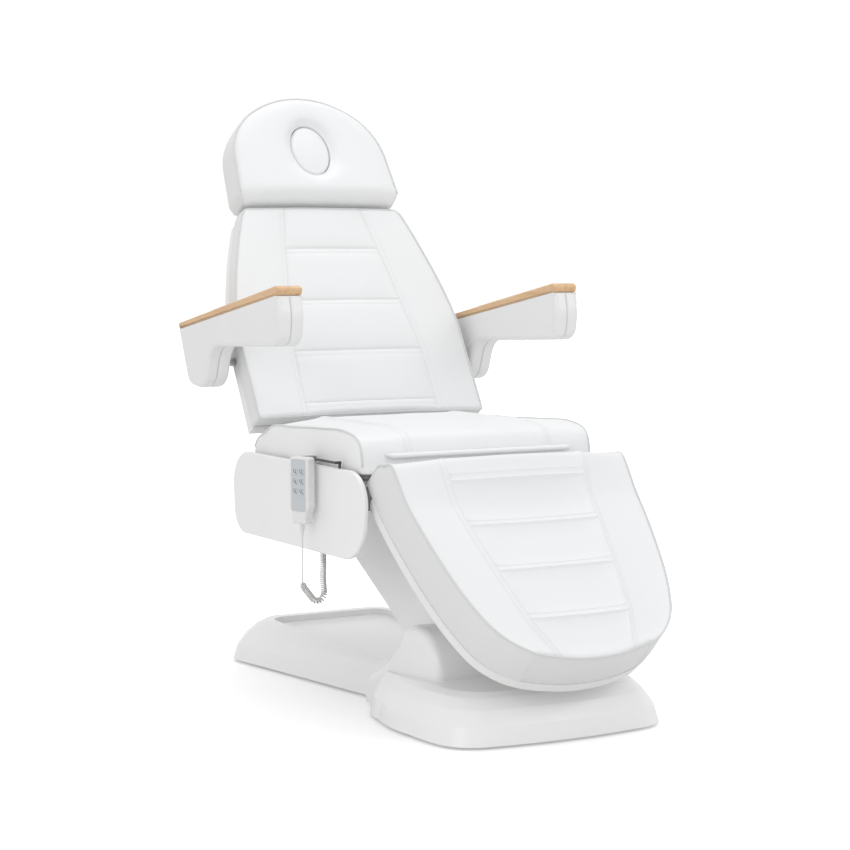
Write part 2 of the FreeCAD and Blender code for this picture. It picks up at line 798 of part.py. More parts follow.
def add_ears(body, origin, tie, foot_low, foot_high, foot_level):
    """Two plates that carry the arm pin and the tie pin."""
    for side in ("-1", "1"):
        low = f"{side} * (ear_inner + steel_plate / 2) - steel_plate / 2"
        high = f"{side} * (ear_inner + steel_plate / 2) + steel_plate / 2"
        pad(body, "YZ_Plane", low, high, [
            (foot_low, foot_level, "0"), (foot_high, foot_level, "0"),
            (f"{origin[0]} + ear_radius", origin[1], "0"),
            (origin[0], f"{origin[1]} + ear_radius", "0"), (tie[0], f"{tie[1]} + tie_radius", "0"),
            (f"{tie[0]} - tie_radius", tie[1], "0")])
        discs(body, "YZ_Plane", low, high, (origin[0], origin[1], "ear_radius"))
        discs(body, "YZ_Plane", low, high, (tie[0], tie[1], "tie_radius"))
    reach = "ear_inner + steel_plate + overrun"
    bores(body, "YZ_Plane", f"-({reach})", reach, (origin[0], origin[1], "pin_radius"),
          (tie[0], tie[1], "link_pin_radius"))


def add_lugs(body, x_centre, place, level_from, level_to, width):
    """Two small plates either side of a motor's eye, bored for its pin."""
    width = f"({width})"
    for side in ("-1", "1"):
        middle = f"({x_centre}) + {side} * (motor_eye_half + lug_gap + lug_thickness / 2)"
        low = f"{middle} - lug_thickness / 2"
        high = f"{middle} + lug_thickness / 2"
        pad(body, "YZ_Plane", low, high,
            rectangle(f"{place[0]} - {width}", level_from, f"{place[0]} + {width}", level_to))
        discs(body, "YZ_Plane", low, high, (place[0], place[1], width))
    bores(body, "YZ_Plane", f"({x_centre}) - ({LUG_OUTER})", f"({x_centre}) + {LUG_OUTER}",
          (place[0], place[1], "link_pin_radius"))


def make_base_frame():
    body = new_body("base_frame")
    top = "rail_bottom + rail_height"
    outer = "rail_inner + rail_width"
    block(body, "-rail_inner", "rail_inner", "-hub_reach - 2 * cross_width",
          "-hub_reach + 1.5 * cross_width",
          "rail_bottom", "rail_bottom + steel_plate")
    for side in ("-1", "1"):
        block(body, f"{side} * (rail_inner + rail_width / 2) - rail_width / 2",
              f"{side} * (rail_inner + rail_width / 2) + rail_width / 2", "-rail_front", "rail_rear",
              "rail_bottom", top)
    block(body, f"-({outer})", outer, "-rail_front", "-rail_front + cross_width", "rail_bottom",
          "rail_bottom + rail_height / 2")
    block(body, f"-({outer})", outer, "rail_rear - cross_width", "rail_rear", "rail_bottom", top)
    block(body, f"-({outer})", outer, "0", "cross_width", "rail_bottom", top)
    add_ears(body, HUB, HUB_TIE, "-hub_reach - 1.2 * cross_width", "-hub_reach + cross_width", "rail_bottom")
    # Posts that carry the cover
    across = "(rail_inner + rail_width / 2)"
    for along, ceiling in (("cross_width - rail_front", "motor_bay_height"),
                           ("rail_rear - 2 * cross_width", "hollow_height")):
        posts = [(f"{side} * {across}", along, "cover_post_radius") for side in ("-1", "1")]
        discs(body, "XY_Plane", top, f"{ceiling} - seating_gap", *posts)
    add_lugs(body, "0", LIFT_MOTOR, "rail_bottom", LIFT_MOTOR[1], "motor_eye_half")


def make_base_feet():
    """Levelling feet: a rubber disc under a stem that enters the rail."""
    radius = number("floor_foot_radius")
    height = number("floor_foot_height")
    stem = number("floor_foot_stem")
    bottom = number("rail_bottom")
    feet = []
    across = number("rail_inner") + number("rail_width") / 2
    for along in (-number("rail_front") + radius, 0, number("rail_rear") - radius):
        for side in (-1, 1):
            disc = Part.makeCone(radius, radius * 0.8, height, Vector(side * across, along, 0), Z_AXIS)
            feet.append(disc.fuse(Part.makeCylinder(stem, bottom, Vector(side * across, along, 0), Z_AXIS)))
    add_shape("base_feet", Part.makeCompound(feet))


def make_hub_pins():
    half = number("arm_plate_inner + steel_plate - seating_gap")
    tie_half = number("ear_inner + steel_plate")
    lug = number(LUG_OUTER)
    places = [pin((number(HUB[0]), number(HUB[1])), half, number("pin_radius")),
              pin((number(HUB_TIE[0]), number(HUB_TIE[1])), tie_half, number("link_pin_radius")),
              pin((number(LIFT_MOTOR[0]), number(LIFT_MOTOR[1])), lug, number("link_pin_radius"))]
    add_shape("hub_pins", Part.makeCompound(places))


def make_lift_arm():
    body = new_body("lift_arm_frame")
    start = "arm_plate_inner"
    end = "arm_plate_inner + steel_plate"
    tube_low = ("0.27 * lift_arm_length", "-arm_tube_drop")
    tube_high = ("0.64 * lift_arm_length", "-arm_tube_drop")
    discs(body, "YZ_Plane", f"-({end})", end, (tube_low[0], tube_low[1], "arm_tube_radius"))
    discs(body, "YZ_Plane", f"-({end})", end, (tube_high[0], tube_high[1], "arm_tube_radius"))
    for low, high in ((start, end), (f"-({end})", f"-{start}")):
        pad(body, "YZ_Plane", low, high, [
            ("0", "-arm_eye_radius", "0"), ("lift_arm_length", "-arm_eye_radius", "arm_eye_radius"),
            ("lift_arm_length + arm_eye_radius", "0", "arm_eye_radius"),
            ("lift_arm_length", "arm_eye_radius", "0"),
            ("0", "arm_eye_radius", "arm_eye_radius"), ("-arm_eye_radius", "0", "arm_eye_radius")])
    # Hub tube between the ears, its two ribs and the motor's lever
    hub_half = "ear_inner - seating_gap"
    lever = in_tilt(LIFT_LEVER, HUB, "lift_arm_angle")
    for side in ("-1", "1"):
        middle = f"{side} * (motor_eye_half + lug_gap + lug_thickness / 2)"
        low = f"{middle} - lug_thickness / 2"
        high = f"{middle} + lug_thickness / 2"
        pad(body, "YZ_Plane", low, high, [
            ("0", "-ear_radius", "0"), (tube_low[0], f"{tube_low[1]} - arm_rib_half", "0"),
            (tube_low[0], f"{tube_low[1]} + arm_rib_half", "0"), ("0", "ear_radius - lug_thickness", "0")])
        pad(body, "YZ_Plane", low, high, [
            (f"{lever[0]} - motor_eye_half", lever[1], "0"), (f"{lever[0]} + motor_eye_half", lever[1], "0"),
            ("ear_radius - lug_thickness", "0", "0"), ("-ear_radius + lug_thickness", "0", "0")])
        discs(body, "YZ_Plane", low, high, (lever[0], lever[1], "motor_eye_half + lug_thickness / 2"))
    discs(body, "YZ_Plane", f"-({hub_half})", hub_half, ("0", "0", "ear_radius"))
    reach = f"{end} + overrun"
    bores(body, "YZ_Plane", f"-({reach})", reach, ("0", "0", PIN_BORE), ("lift_arm_length", "0", PIN_BORE))
    discs(body, "YZ_Plane", f"-({LUG_OUTER})", LUG_OUTER, (lever[0], lever[1], "link_pin_radius"))
    body.Placement = lift

    cover = new_body("lift_arm_cover")
    inner = "arm_plate_inner + steel_plate"
    outer = f"{inner} + arm_cover_side"
    far = "lift_arm_length - arm_cover_end"
    nose = ("-arm_cover_above * cos(arm_nose_angle)", "arm_cover_above * sin(arm_nose_angle)")
    pad(cover, "YZ_Plane", f"-({outer})", outer, [
        ("arm_cover_start", "-arm_cover_below", "0"), (far, "-arm_cover_below", "0"),
        (far, "arm_cover_above", "0"),
        ("0", "arm_cover_above", "arm_cover_above"), (nose[0], nose[1], "0")])
    inside = "(arm_cover_above - cover_wall)"
    pocket(cover, "YZ_Plane", f"-({inner})", inner, [
        ("arm_cover_start - cover_wall", "cover_wall - arm_cover_below", "0"),
        (f"{far} + overrun", "cover_wall - arm_cover_below", "0"), (f"{far} + overrun", inside, "0"),
        ("0", inside, inside), (f"-{inside} * cos(arm_nose_angle)", f"{inside} * sin(arm_nose_angle)", "0"),
        ("-arm_cover_above - overrun", f"{inside} * sin(arm_nose_angle)", "0"),
        ("-arm_cover_above - overrun", "-arm_cover_below - overrun", "0"),
        ("arm_cover_start - cover_wall", "-arm_cover_below - overrun", "0")])
    cover.Placement = lift


def make_tie_arm():
    body = new_body("tie_arm")
    discs(body, "YZ_Plane", "-tie_half_width", "tie_half_width", ("0", "0", "tie_radius"))
    discs(body, "YZ_Plane", "-tie_half_width", "tie_half_width", ("lift_arm_length", "0", "tie_radius"))
    pad(body, "YZ_Plane", "-tie_half_width", "tie_half_width",
        rectangle("0", "-tie_bar_half", "lift_arm_length", "tie_bar_half"))
    bores(body, "YZ_Plane", "-tie_half_width - overrun", "tie_half_width + overrun",
          ("0", "0", LINK_BORE), ("lift_arm_length", "0", LINK_BORE))
    body.Placement = tilted(0, number(HUB_TIE[0]), number(HUB_TIE[1]), number("lift_arm_angle"))


def make_seat_frame():
    body = new_body("seat_frame")
    cross_low = f"{SEAT_RAIL_TOP} - seat_cross_height"
    outer = "(seat_rail_inner + seat_rail_width)"
    block(body, "-seat_rail_inner", "seat_rail_inner", "middle_cross_place",
          "middle_cross_place + seat_cross_width",
          cross_low, SEAT_RAIL_TOP)
    for low, high in (("seat_rail_inner", outer), (f"-{outer}", "-seat_rail_inner")):
        pad(body, "YZ_Plane", low, high, [
            (LEG_HINGE[0], SEAT_RAIL_BOTTOM, "0"), (BACK_HINGE[0], SEAT_RAIL_BOTTOM, "0"),
            (BACK_HINGE[0], SEAT_RAIL_TOP, "0"), (LEG_HINGE[0], SEAT_RAIL_TOP, "0")])
        discs(body, "YZ_Plane", low, high, (LEG_HINGE[0], LEG_HINGE[1], "leg_eye_radius"))
        discs(body, "YZ_Plane", low, high, (BACK_HINGE[0], BACK_HINGE[1], "hinge_eye_radius"))
    for place in ("-front_cross_place", "rear_cross_place"):
        block(body, "-seat_rail_inner", "seat_rail_inner", place, f"{place} + seat_cross_width", cross_low,
              SEAT_RAIL_TOP)
    for side in ("-1", "1"):
        middle = f"{side} * (ear_inner + steel_plate / 2)"
        block(body, f"{middle} - seat_hanger_half", f"{middle} + seat_hanger_half", "middle_cross_place",
              "rear_cross_place + seat_cross_width", cross_low, SEAT_RAIL_TOP)
    for side in ("-1", "1"):
        low = f"{side} * (ear_inner + steel_plate / 2) - steel_plate / 2"
        high = f"{side} * (ear_inner + steel_plate / 2) + steel_plate / 2"
        pad(body, "YZ_Plane", low, high, [
            (f"{RISE_TIE[0]} - tie_radius", RISE_TIE[1], "0"), (RISE[0], f"{RISE[1]} - ear_radius", "0"),
            (f"{RISE[0]} + ear_radius", RISE[1], "0"),
            ("rear_cross_place + seat_cross_width", SEAT_RAIL_TOP, "0"),
            ("middle_cross_place + 2 * seat_cross_width", SEAT_RAIL_TOP, "0")])
        discs(body, "YZ_Plane", low, high, (RISE[0], RISE[1], "ear_radius"))
        discs(body, "YZ_Plane", low, high, (RISE_TIE[0], RISE_TIE[1], "tie_radius"))
    for x_centre in ("seat_motor_side", "-seat_motor_side"):
        add_lugs(body, x_centre, SEAT_MOTOR, SEAT_MOTOR[1], SEAT_RAIL_TOP, "motor_eye_half + lug_gap")
    reach = "ear_inner + steel_plate + overrun"
    bores(body, "YZ_Plane", f"-({reach})", reach, (RISE[0], RISE[1], "pin_radius"),
          (RISE_TIE[0], RISE_TIE[1], "link_pin_radius"))
    reach = f"{outer} + overrun"
    bores(body, "YZ_Plane", f"-({reach})", reach, (LEG_HINGE[0], LEG_HINGE[1], "pin_radius"),
          (BACK_HINGE[0], BACK_HINGE[1], "pin_radius"))


def make_seat_board():
    body = new_body("seat_board")
    inset = "seat_corner / 2"
    pad(body, "XY_Plane", SEAT_RAIL_TOP, "seat_base", rectangle(
        f"{inset} - seat_half", "seat_corner - seat_front", f"seat_half - {inset}",
        "seat_rear - seat_corner"))


def make_seat_pins():
    rail_mid = number("seat_rail_inner + seat_rail_width / 2 - hinge_ear_thickness / 2")
    rail_half = number("seat_rail_width / 2 + hinge_ear_thickness / 2")
    hinges = []
    for hinge in (LEG_HINGE, BACK_HINGE):
        for side in (-1, 1):
            place = (number(hinge[0]), number(hinge[1]))
            hinges.append(pin(place, rail_half, number("pin_radius"), side * rail_mid))
    add_shape("hinge_pins", Part.makeCompound(hinges))
    half = number("arm_plate_inner + steel_plate - seating_gap")
    tie_half = number("ear_inner + steel_plate")
    links = [pin((number(RISE[0]), number(RISE[1])), half, number("pin_radius")),
             pin((number(RISE_TIE[0]), number(RISE_TIE[1])), tie_half, number("link_pin_radius"))]
    for side in (-1, 1):
        links.append(pin((number(SEAT_MOTOR[0]), number(SEAT_MOTOR[1])), number(LUG_OUTER),
                         number("link_pin_radius"),
                         side * number("seat_motor_side")))
    add_shape("seat_link_pins", Part.makeCompound(links))


def make_seat_cushion():
    half = number("seat_half")
    front = number("seat_front")
    rear = number("seat_rear")
    base = number("seat_base")
    corner = number("seat_corner")
    height = number("seat_top") - base
    over = number("overrun")
    pull = number("side_pull")

    def plan(inset):
        x = half - inset
        return [(x - corner, -front, corner), (x, corner - front, 0), (x, rear, 0),
                (-x, rear, 0), (-x, corner - front, corner), (corner - x, -front, 0)]

    sections = [wire_at(plan(pull * drawn), base + height * (1 - share)) for share, drawn in WALL_SHARES[:4]]
    sections.append(wire_at(plan(pull * 0.5), number("seat_top") + over))
    profile = []
    for reach, along_share, height_share, bend in SEAT_PROFILE_SHARES:
        profile.append((along_share * number(reach), base + height * height_share, bend * half))
    shape = Part.makeLoft(sections, True, True).common(side_prism(profile, half + over))
    radius = crown_radius(half, number("seat_edge_drop"))
    top = number("seat_top")
    shape = shape.common(crown_bar(radius, top, -front - over, rear + over))
    depth = number("seam_depth")
    keep_profile = [(y, z - depth, bend) for y, z, bend in profile]
    inner = side_prism(keep_profile,
                       half).common(crown_bar(radius - depth, top - depth, -front - over, rear + over))
    seam_x = SEAT_SEAM_SHARE * half
    for side in (-1, 1):
        strip = seam((side * seam_x, depth - front * 0.95), (side * seam_x, rear - over),
                     number("seam_width"),
                     base + height * 0.3, top + over)
        shape = shape.cut(strip.cut(inner))
    add_shape("seat_cushion", shape.removeSplitter())


def make_front_flap():
    """Narrow upholstered lip under the seat's front edge."""
    body = new_body("seat_front_flap")
    low = "flap_level"
    back = f"-seat_front * {FLAP_SEAT_SHARE} - seating_gap"
    pad(body, "YZ_Plane", "-flap_half", "flap_half", [
        ("-seat_front - flap_depth", low, "0"), (back, low, "0"), (back, f"{low} + flap_thickness", "0"),
        ("-seat_front - flap_depth", f"{low} + 0.7 * flap_thickness", "0")])


def panel_corners():
    centre_z = "(panel_top - panel_half_height)"
    return [(f"panel_centre + ({x} * panel_half_length)", f"{centre_z} + ({y} * panel_half_length)",
             f"{radius} * panel_half_length") for x, y, radius in rounded(PANEL_CORNER_SHARES)]


def make_side_panels():
    for name, side in SIDES:
        body = new_body(f"side_panel_{name}")
        outer = "panel_inner + panel_thickness"
        low, high = ("panel_inner", outer) if side > 0 else (f"-({outer})", "-panel_inner")
        pad(body, "YZ_Plane", low, high, panel_corners())
        for level in (low, high):
            round_edges(body, "panel_edge", at_level(X_AXIS, level))
    spacers = []
    radius = number("spacer_radius")
    inner = number("seat_rail_inner + seat_rail_width")
    length = number("panel_inner") - inner
    for along, up in SPACER_SHARES:
        y = number("panel_centre") + along * number("panel_half_length")
        z = number("panel_top - panel_half_height") + up * number("panel_half_height")
        for side in (-1, 1):
            start = Vector(side * inner, y, z)
            spacers.append(Part.makeCylinder(radius, length, start, X_AXIS * side))
    add_shape("panel_spacers", Part.makeCompound(spacers))


def make_control_box():
    body = new_body("control_box")
    top = SEAT_RAIL_BOTTOM
    block(body, "-control_outer", "-control_inner", "-control_front", "control_rear",
          f"{top} - control_height", top)
    round_edges(body, "handset_edge",
                lambda edge: abs(edge.BoundBox.ZLength - number("control_height")) < 0.01)
    x, y, z = CURL_ROUTE[-1]
    radius = number("socket_radius")
    length = number(f"{top} - control_height") - z
    add_shape("handset_socket", Part.makeCylinder(radius, length, Vector(x, y, z), Z_AXIS))


def make_handset_hook():
    """A wire hook on the side panel's top edge."""
    radius = number("hook_radius")
    x = -number("panel_inner + panel_thickness + hook_out")
    panel_x = -number("panel_inner + panel_thickness / 2")
    z = number("panel_top + hook_rise")
    front = -number("hook_front")
    rear = number("hook_rear")
    bend = radius * 2
    top = number("panel_top")
    bar = Part.makeCylinder(radius, rear - front, Vector(x, front, z), Y_AXIS)
    for y, run in ((front + radius, 1), (rear - radius, -1)):
        arm = Part.makeCylinder(radius, panel_x - x + radius, Vector(x, y, z), X_AXIS)
        leg = Part.makeCylinder(radius, z - top, Vector(panel_x, y, top), Z_AXIS)
        bar = bar.fuse([arm, leg])
    bar = bar.cut(Part.makeBox(bend * 2, number("hook_front") * 2, bend,
                               Vector(panel_x + radius, front * 2, z - radius)))
    add_shape("handset_hook", bar.removeSplitter())


def back_corners(inset):
    return both_sides(by_shares(BACK_SHARES, "back_half", "back_length", inset=inset))


def numeric_half(shares, half, length, inset, along_sign=1, closing=0):
    """Numbers of a mirrored outline, its width drawn in by an inset."""
    right = []
    for x, y, bend in shares:
        place = min(max(y * length, inset), length - inset) if 0 <= y <= 1 else y * length
        right.append((x * half - inset, along_sign * place, bend * half))
    mirrored = [(-x, y) for x, y, _ in reversed(right)]
    radii = [radius for _, _, radius in reversed(right[:-1])] + [closing]
    return right + [(x, y, radius) for (x, y), radius in zip(mirrored, radii)]


def make_back_cushion():
    half = number("back_half")
    length = number("back_length")
    crown = number("back_crown")
    depth = number("back_cushion_depth")
    over = number("overrun")
    sections = wall_sections(lambda inset: numeric_half(BACK_SHARES, half, length, inset), depth,
                             crown + over)
    seam_points = [(x * half, y * length) for x, y in BACK_SEAM_SHARES]
    channels = [share * length for share in BACK_CHANNEL_SHARES]
    strips = seam_strips(seam_points, channels, -depth / 2, crown + over)
    shape = cushion(sections, None, half, crown, (-over, length + over), strips)
    add_shape("back_cushion", shape, lean)


def make_back_structure():
    board_low = "-back_cushion_depth - back_board_depth"
    board = new_body("back_board")
    pad(board, "XY_Plane", board_low, "-back_cushion_depth - seating_gap", back_corners("shell_inset"))
    board.Placement = lean

    shell = new_body("back_shell")
    pad(shell, "XY_Plane", "-back_depth", board_low, back_corners("shell_inset"))
    inner = "back_bar_inner + back_bar_width + gap_beside_link"
    low = "shell_wall - back_depth"
    pocket(shell, "XY_Plane", low, f"{board_low} + overrun",
           rectangle(f"-({inner})", "-overrun", inner, "back_bar_reach + gap_beside_link"))
    for side in ("-1", "1"):
        middle = f"{side} * socket_place"
        width = "(rod_radius + socket_wall + seating_gap)"
        pocket(shell, "XY_Plane", low, f"{board_low} + overrun",
               rectangle(f"{middle} - {width}", "back_bar_reach", f"{middle} + {width}",
                         "back_length + overrun"))
    ear = in_tilt(BACK_HINGE, BACK_ORIGIN, "back_lean_angle")
    pivot_reach = "back_half + overrun"
    bores(shell, "YZ_Plane", f"-({pivot_reach})", pivot_reach,
          ("arm_pivot_up", "-arm_pivot_depth", "arm_pivot_radius + seating_gap"))
    opening = "back_bar_inner + back_bar_width + gap_beside_link"
    pocket(shell, "XY_Plane", "-back_depth - overrun", f"{board_low} + overrun",
           rectangle(f"-({opening})", "-overrun", opening, "hinge_eye_radius + overrun"))
    shell.Placement = lean

    frame = new_body("back_frame")
    bar_low = "shell_wall + seating_gap - back_depth"
    bar_high = f"{board_low} - seating_gap"
    block(frame, "-back_bar_inner", "back_bar_inner", "back_bar_reach - back_bar_width", "back_bar_reach",
          bar_low, bar_high)
    for side in ("-1", "1"):
        middle = f"{side} * (back_bar_inner + back_bar_width / 2)"
        block(frame, f"{middle} - back_bar_width / 2", f"{middle} + back_bar_width / 2", "0",
              "back_bar_reach",
              bar_low, bar_high)
    block(frame, "-back_bar_inner", "back_bar_inner", "0", "back_bar_width", bar_low, bar_high)
    block(frame, "-back_bar_inner", "back_bar_inner", "arm_pivot_up - back_bar_width / 2",
          "arm_pivot_up + back_bar_width / 2", bar_low, bar_high)
    for side in ("-1", "1"):
        middle = f"{side} * (seat_rail_inner - seating_gap - hinge_ear_thickness / 2)"
        low = f"{middle} - hinge_ear_thickness / 2"
        high = f"{middle} + hinge_ear_thickness / 2"
        pad(frame, "YZ_Plane", low, high, [
            (f"{ear[0]} - hinge_eye_radius", ear[1], "0"), (ear[0], f"{ear[1]} - hinge_eye_radius", "0"),
            ("back_bar_width", bar_low, "0"), ("back_bar_width", bar_high, "0"), ("0", bar_high, "0")])
        discs(frame, "YZ_Plane", low, high, (ear[0], ear[1], "hinge_eye_radius"))
    lever = in_tilt(BACK_LEVER, BACK_ORIGIN, "back_lean_angle")
    for side in ("-1", "1"):
        middle = f"seat_motor_side + {side} * (motor_eye_half + lug_gap + lug_thickness / 2)"
        low = f"{middle} - lug_thickness / 2"
        high = f"{middle} + lug_thickness / 2"
        pad(frame, "YZ_Plane", low, high, [
            (f"{lever[0]} - motor_eye_half", f"{lever[1]} - motor_eye_half", "0"),
            ("back_bar_width", bar_low, "0"),
            ("back_bar_width", bar_high, "0"), ("0", bar_high, "0")])
        discs(frame, "YZ_Plane", low, high, (lever[0], lever[1], "motor_eye_half + lug_thickness / 2"))
    reach = "seat_rail_inner + overrun"
    bores(frame, "YZ_Plane", f"-({reach})", reach, (ear[0], ear[1], PIN_BORE))
    discs(frame, "YZ_Plane", f"seat_motor_side - ({LUG_OUTER})", f"seat_motor_side + {LUG_OUTER}",
          (lever[0], lever[1], "link_pin_radius"))
    frame.Placement = lean


def rod_axis():
    return -number("head_cushion_depth") - number("head_board_depth") / 2 + number("head_proud")


def make_headrest_sockets():
    """Two tubes at the top of the back frame, in which the headrest's rods slide."""
    radius = number("rod_radius + running_clearance")
    outer = radius + number("socket_wall")
    depth = rod_axis()
    start = number("back_bar_reach")
    length = number("back_length - shell_inset") - start
    tubes = []
    for side in (-1, 1):
        place = Vector(side * number("socket_place"), start, depth)
        tube = Part.makeCylinder(outer, length, place, Y_AXIS)
        tubes.append(tube.cut(Part.makeCylinder(radius, length, place, Y_AXIS)))
    add_shape("headrest_sockets", Part.makeCompound(tubes), lean)


def make_arm_pivots():
    """Stub axles from the back frame's side bars, with a flange against the back's edge."""
    pivots = []
    inner = number("back_bar_inner + back_bar_width")
    tip = number("arm_inner + arm_half_width + arm_bore_depth")
    flange = number("arm_inner - seating_gap")
    thickness = number("arm_flange_thickness")
    for side in (-1, 1):
        place = Vector(side * inner, number("arm_pivot_up"), -number("arm_pivot_depth"))
        axle = Part.makeCylinder(number("arm_pivot_radius"), tip - inner, place, X_AXIS * side)
        place = Vector(side * (flange - thickness), place.y, place.z)
        pivots.append(axle.fuse(Part.makeCylinder(number("arm_flange_radius"), thickness, place,
                                                  X_AXIS * side)))
    add_shape("arm_pivots", Part.makeCompound(pivots), lean)


def head_outline(inset):
    half = number("head_half")
    length = number("head_length")
    skirt = number("head_skirt")
    right = [(half - inset, inset - skirt, 0)]
    for x, y, bend in HEAD_SHARES[1:]:
        right.append((x * half - inset, y * length - inset, bend * half - inset))
    mirrored = [(-x, y) for x, y, _ in reversed(right)]
    radii = [radius for _, _, radius in reversed(right[:-1])] + [0]
    return right + [(x, y, radius) for (x, y), radius in zip(mirrored, radii)]


def oval(centre_y, half_width, half_height, low, high):
    """An upright oval prism of four arcs."""
    ring = Part.makeCylinder(half_width, high - low, Vector(0, 0, low), Z_AXIS)
    matrix = FreeCAD.Matrix()
    matrix.scale(Vector(1, half_height / half_width, 1))
    ring = ring.transformGeometry(matrix)
    ring.translate(Vector(0, centre_y, 0))
    return ring


def make_headrest():
    depth = number("head_cushion_depth")
    crown = number("head_crown")
    half = number("head_half")
    skirt = number("head_skirt")
    length = number("head_length")
    over = number("overrun")
    face_up = number("face_up")
    wide = number("face_half_width")
    tall = number("face_half_height")
    ring = number("face_ring")
    sections = wall_sections(head_outline, depth, crown + over)
    profile = [(length + over, -depth, 0), (length + over, crown + over, 0), (0, crown + over, 0),
               (0, 0, depth * 1.1),
               (-skirt, -depth * 0.45, 0), (-skirt, -depth, 0)]
    shape = cushion(sections, profile, half, crown, (-skirt - over, length + over), ())
    shape = shape.cut(oval(face_up, wide, tall, -depth - over, crown + over))
    shape = shape.cut(oval(face_up, wide + ring, tall + ring, crown - number("face_ring_depth"),
                           crown + over))
    add_shape("headrest_cushion", shape, head_lean)

    gap = number("seating_gap")
    inset = number("head_board_inset")
    board = prism(head_outline(inset), -depth - number("head_board_depth"), -depth - gap)
    board = board.cut(oval(face_up, wide + ring, tall + ring, -depth * 2, 0))
    radius = number("rod_radius")
    axis = -depth - number("head_board_depth") / 2
    base = inset - skirt
    run = number("rod_in_board")
    rods = []
    for side in (-1, 1):
        x = side * number("socket_place")
        board = board.cut(Part.makeCylinder(radius, run, Vector(x, base, axis), Y_AXIS))
        tail = number("head_up - back_length + shell_inset + rod_in_socket")
        rods.append(Part.makeCylinder(radius, tail + base + run, Vector(x, -tail, axis), Y_AXIS))
    add_shape("headrest_board", board, head_lean)
    add_shape("headrest_rods", Part.makeCompound(rods), head_lean)

    plug_gap = gap
    plug = oval(face_up, wide - plug_gap, tall - plug_gap, crown - number("plug_depth"), crown + over)
    dome = Part.makeSphere(number("head_length"), Vector(0, face_up, crown - 1 - number("head_length")))
    add_shape("face_plug", plug.common(dome), head_lean)


def make_armrests():
    """Each armrest is two moulded halves, parted down the middle, under a wooden top."""
    corners = by_shares(rounded(ARM_CORNER_SHARES), "arm_reach", "arm_reach")
    wood = by_shares(WOOD_SHARES, "arm_reach", "arm_reach")
    pivot = lean.multVec(Vector(0, number("arm_pivot_up"), -number("arm_pivot_depth")))
    place = FreeCAD.Placement(Vector(0, pivot.y, pivot.z), FreeCAD.Rotation())
    middle = "(arm_inner + arm_half_width)"
    end = "(arm_inner + 2 * arm_half_width)"
    for name, side in SIDES:
        sign = "" if side > 0 else "-"
        for half_name, low, high, face in (("inner", "arm_inner", middle, "arm_inner"),
                                           ("outer", middle, end, end)):
            body = new_body(f"arm_{half_name}_shell_{name}")
            span = (low, high) if side > 0 else (f"-{high}", f"-{low}")
            pad(body, "YZ_Plane", span[0], span[1], corners)
            bore_end = f"{middle} + arm_bore_depth + seating_gap"
            if side > 0:
                bores(body, "YZ_Plane", "arm_inner - overrun", bore_end,
                      ("0", "0", "arm_pivot_radius + running_clearance"))
            else:
                bores(body, "YZ_Plane", f"-({bore_end})", "overrun - arm_inner",
                      ("0", "0", "arm_pivot_radius + running_clearance"))
            body.Placement = place
        body = new_body(f"arm_top_{name}")
        span = ("arm_inner", end) if side > 0 else (f"-{end}", "-arm_inner")
        pad(body, "YZ_Plane", span[0], span[1], wood)
        for level in span:
            round_edges(body, "wood_edge", at_level(X_AXIS, level))
        body.Placement = place


def leg_corners(inset):
    length = number("leg_length")
    half = number("leg_half")
    right = []
    for x, y, bend in LEG_SHARES:
        place = min(y * length, length - inset) + (0 if y < 0.9 else -inset * 0.5)
        right.append((x * half - inset, -place, bend * half))
    mirrored = [(-x, y) for x, y, _ in reversed(right)]
    radii = [radius for _, _, radius in reversed(right[:-1])] + [LEG_FOOT_RADIUS_SHARE * half]
    return right + [(x, y, radius) for (x, y), radius in zip(mirrored, radii)]


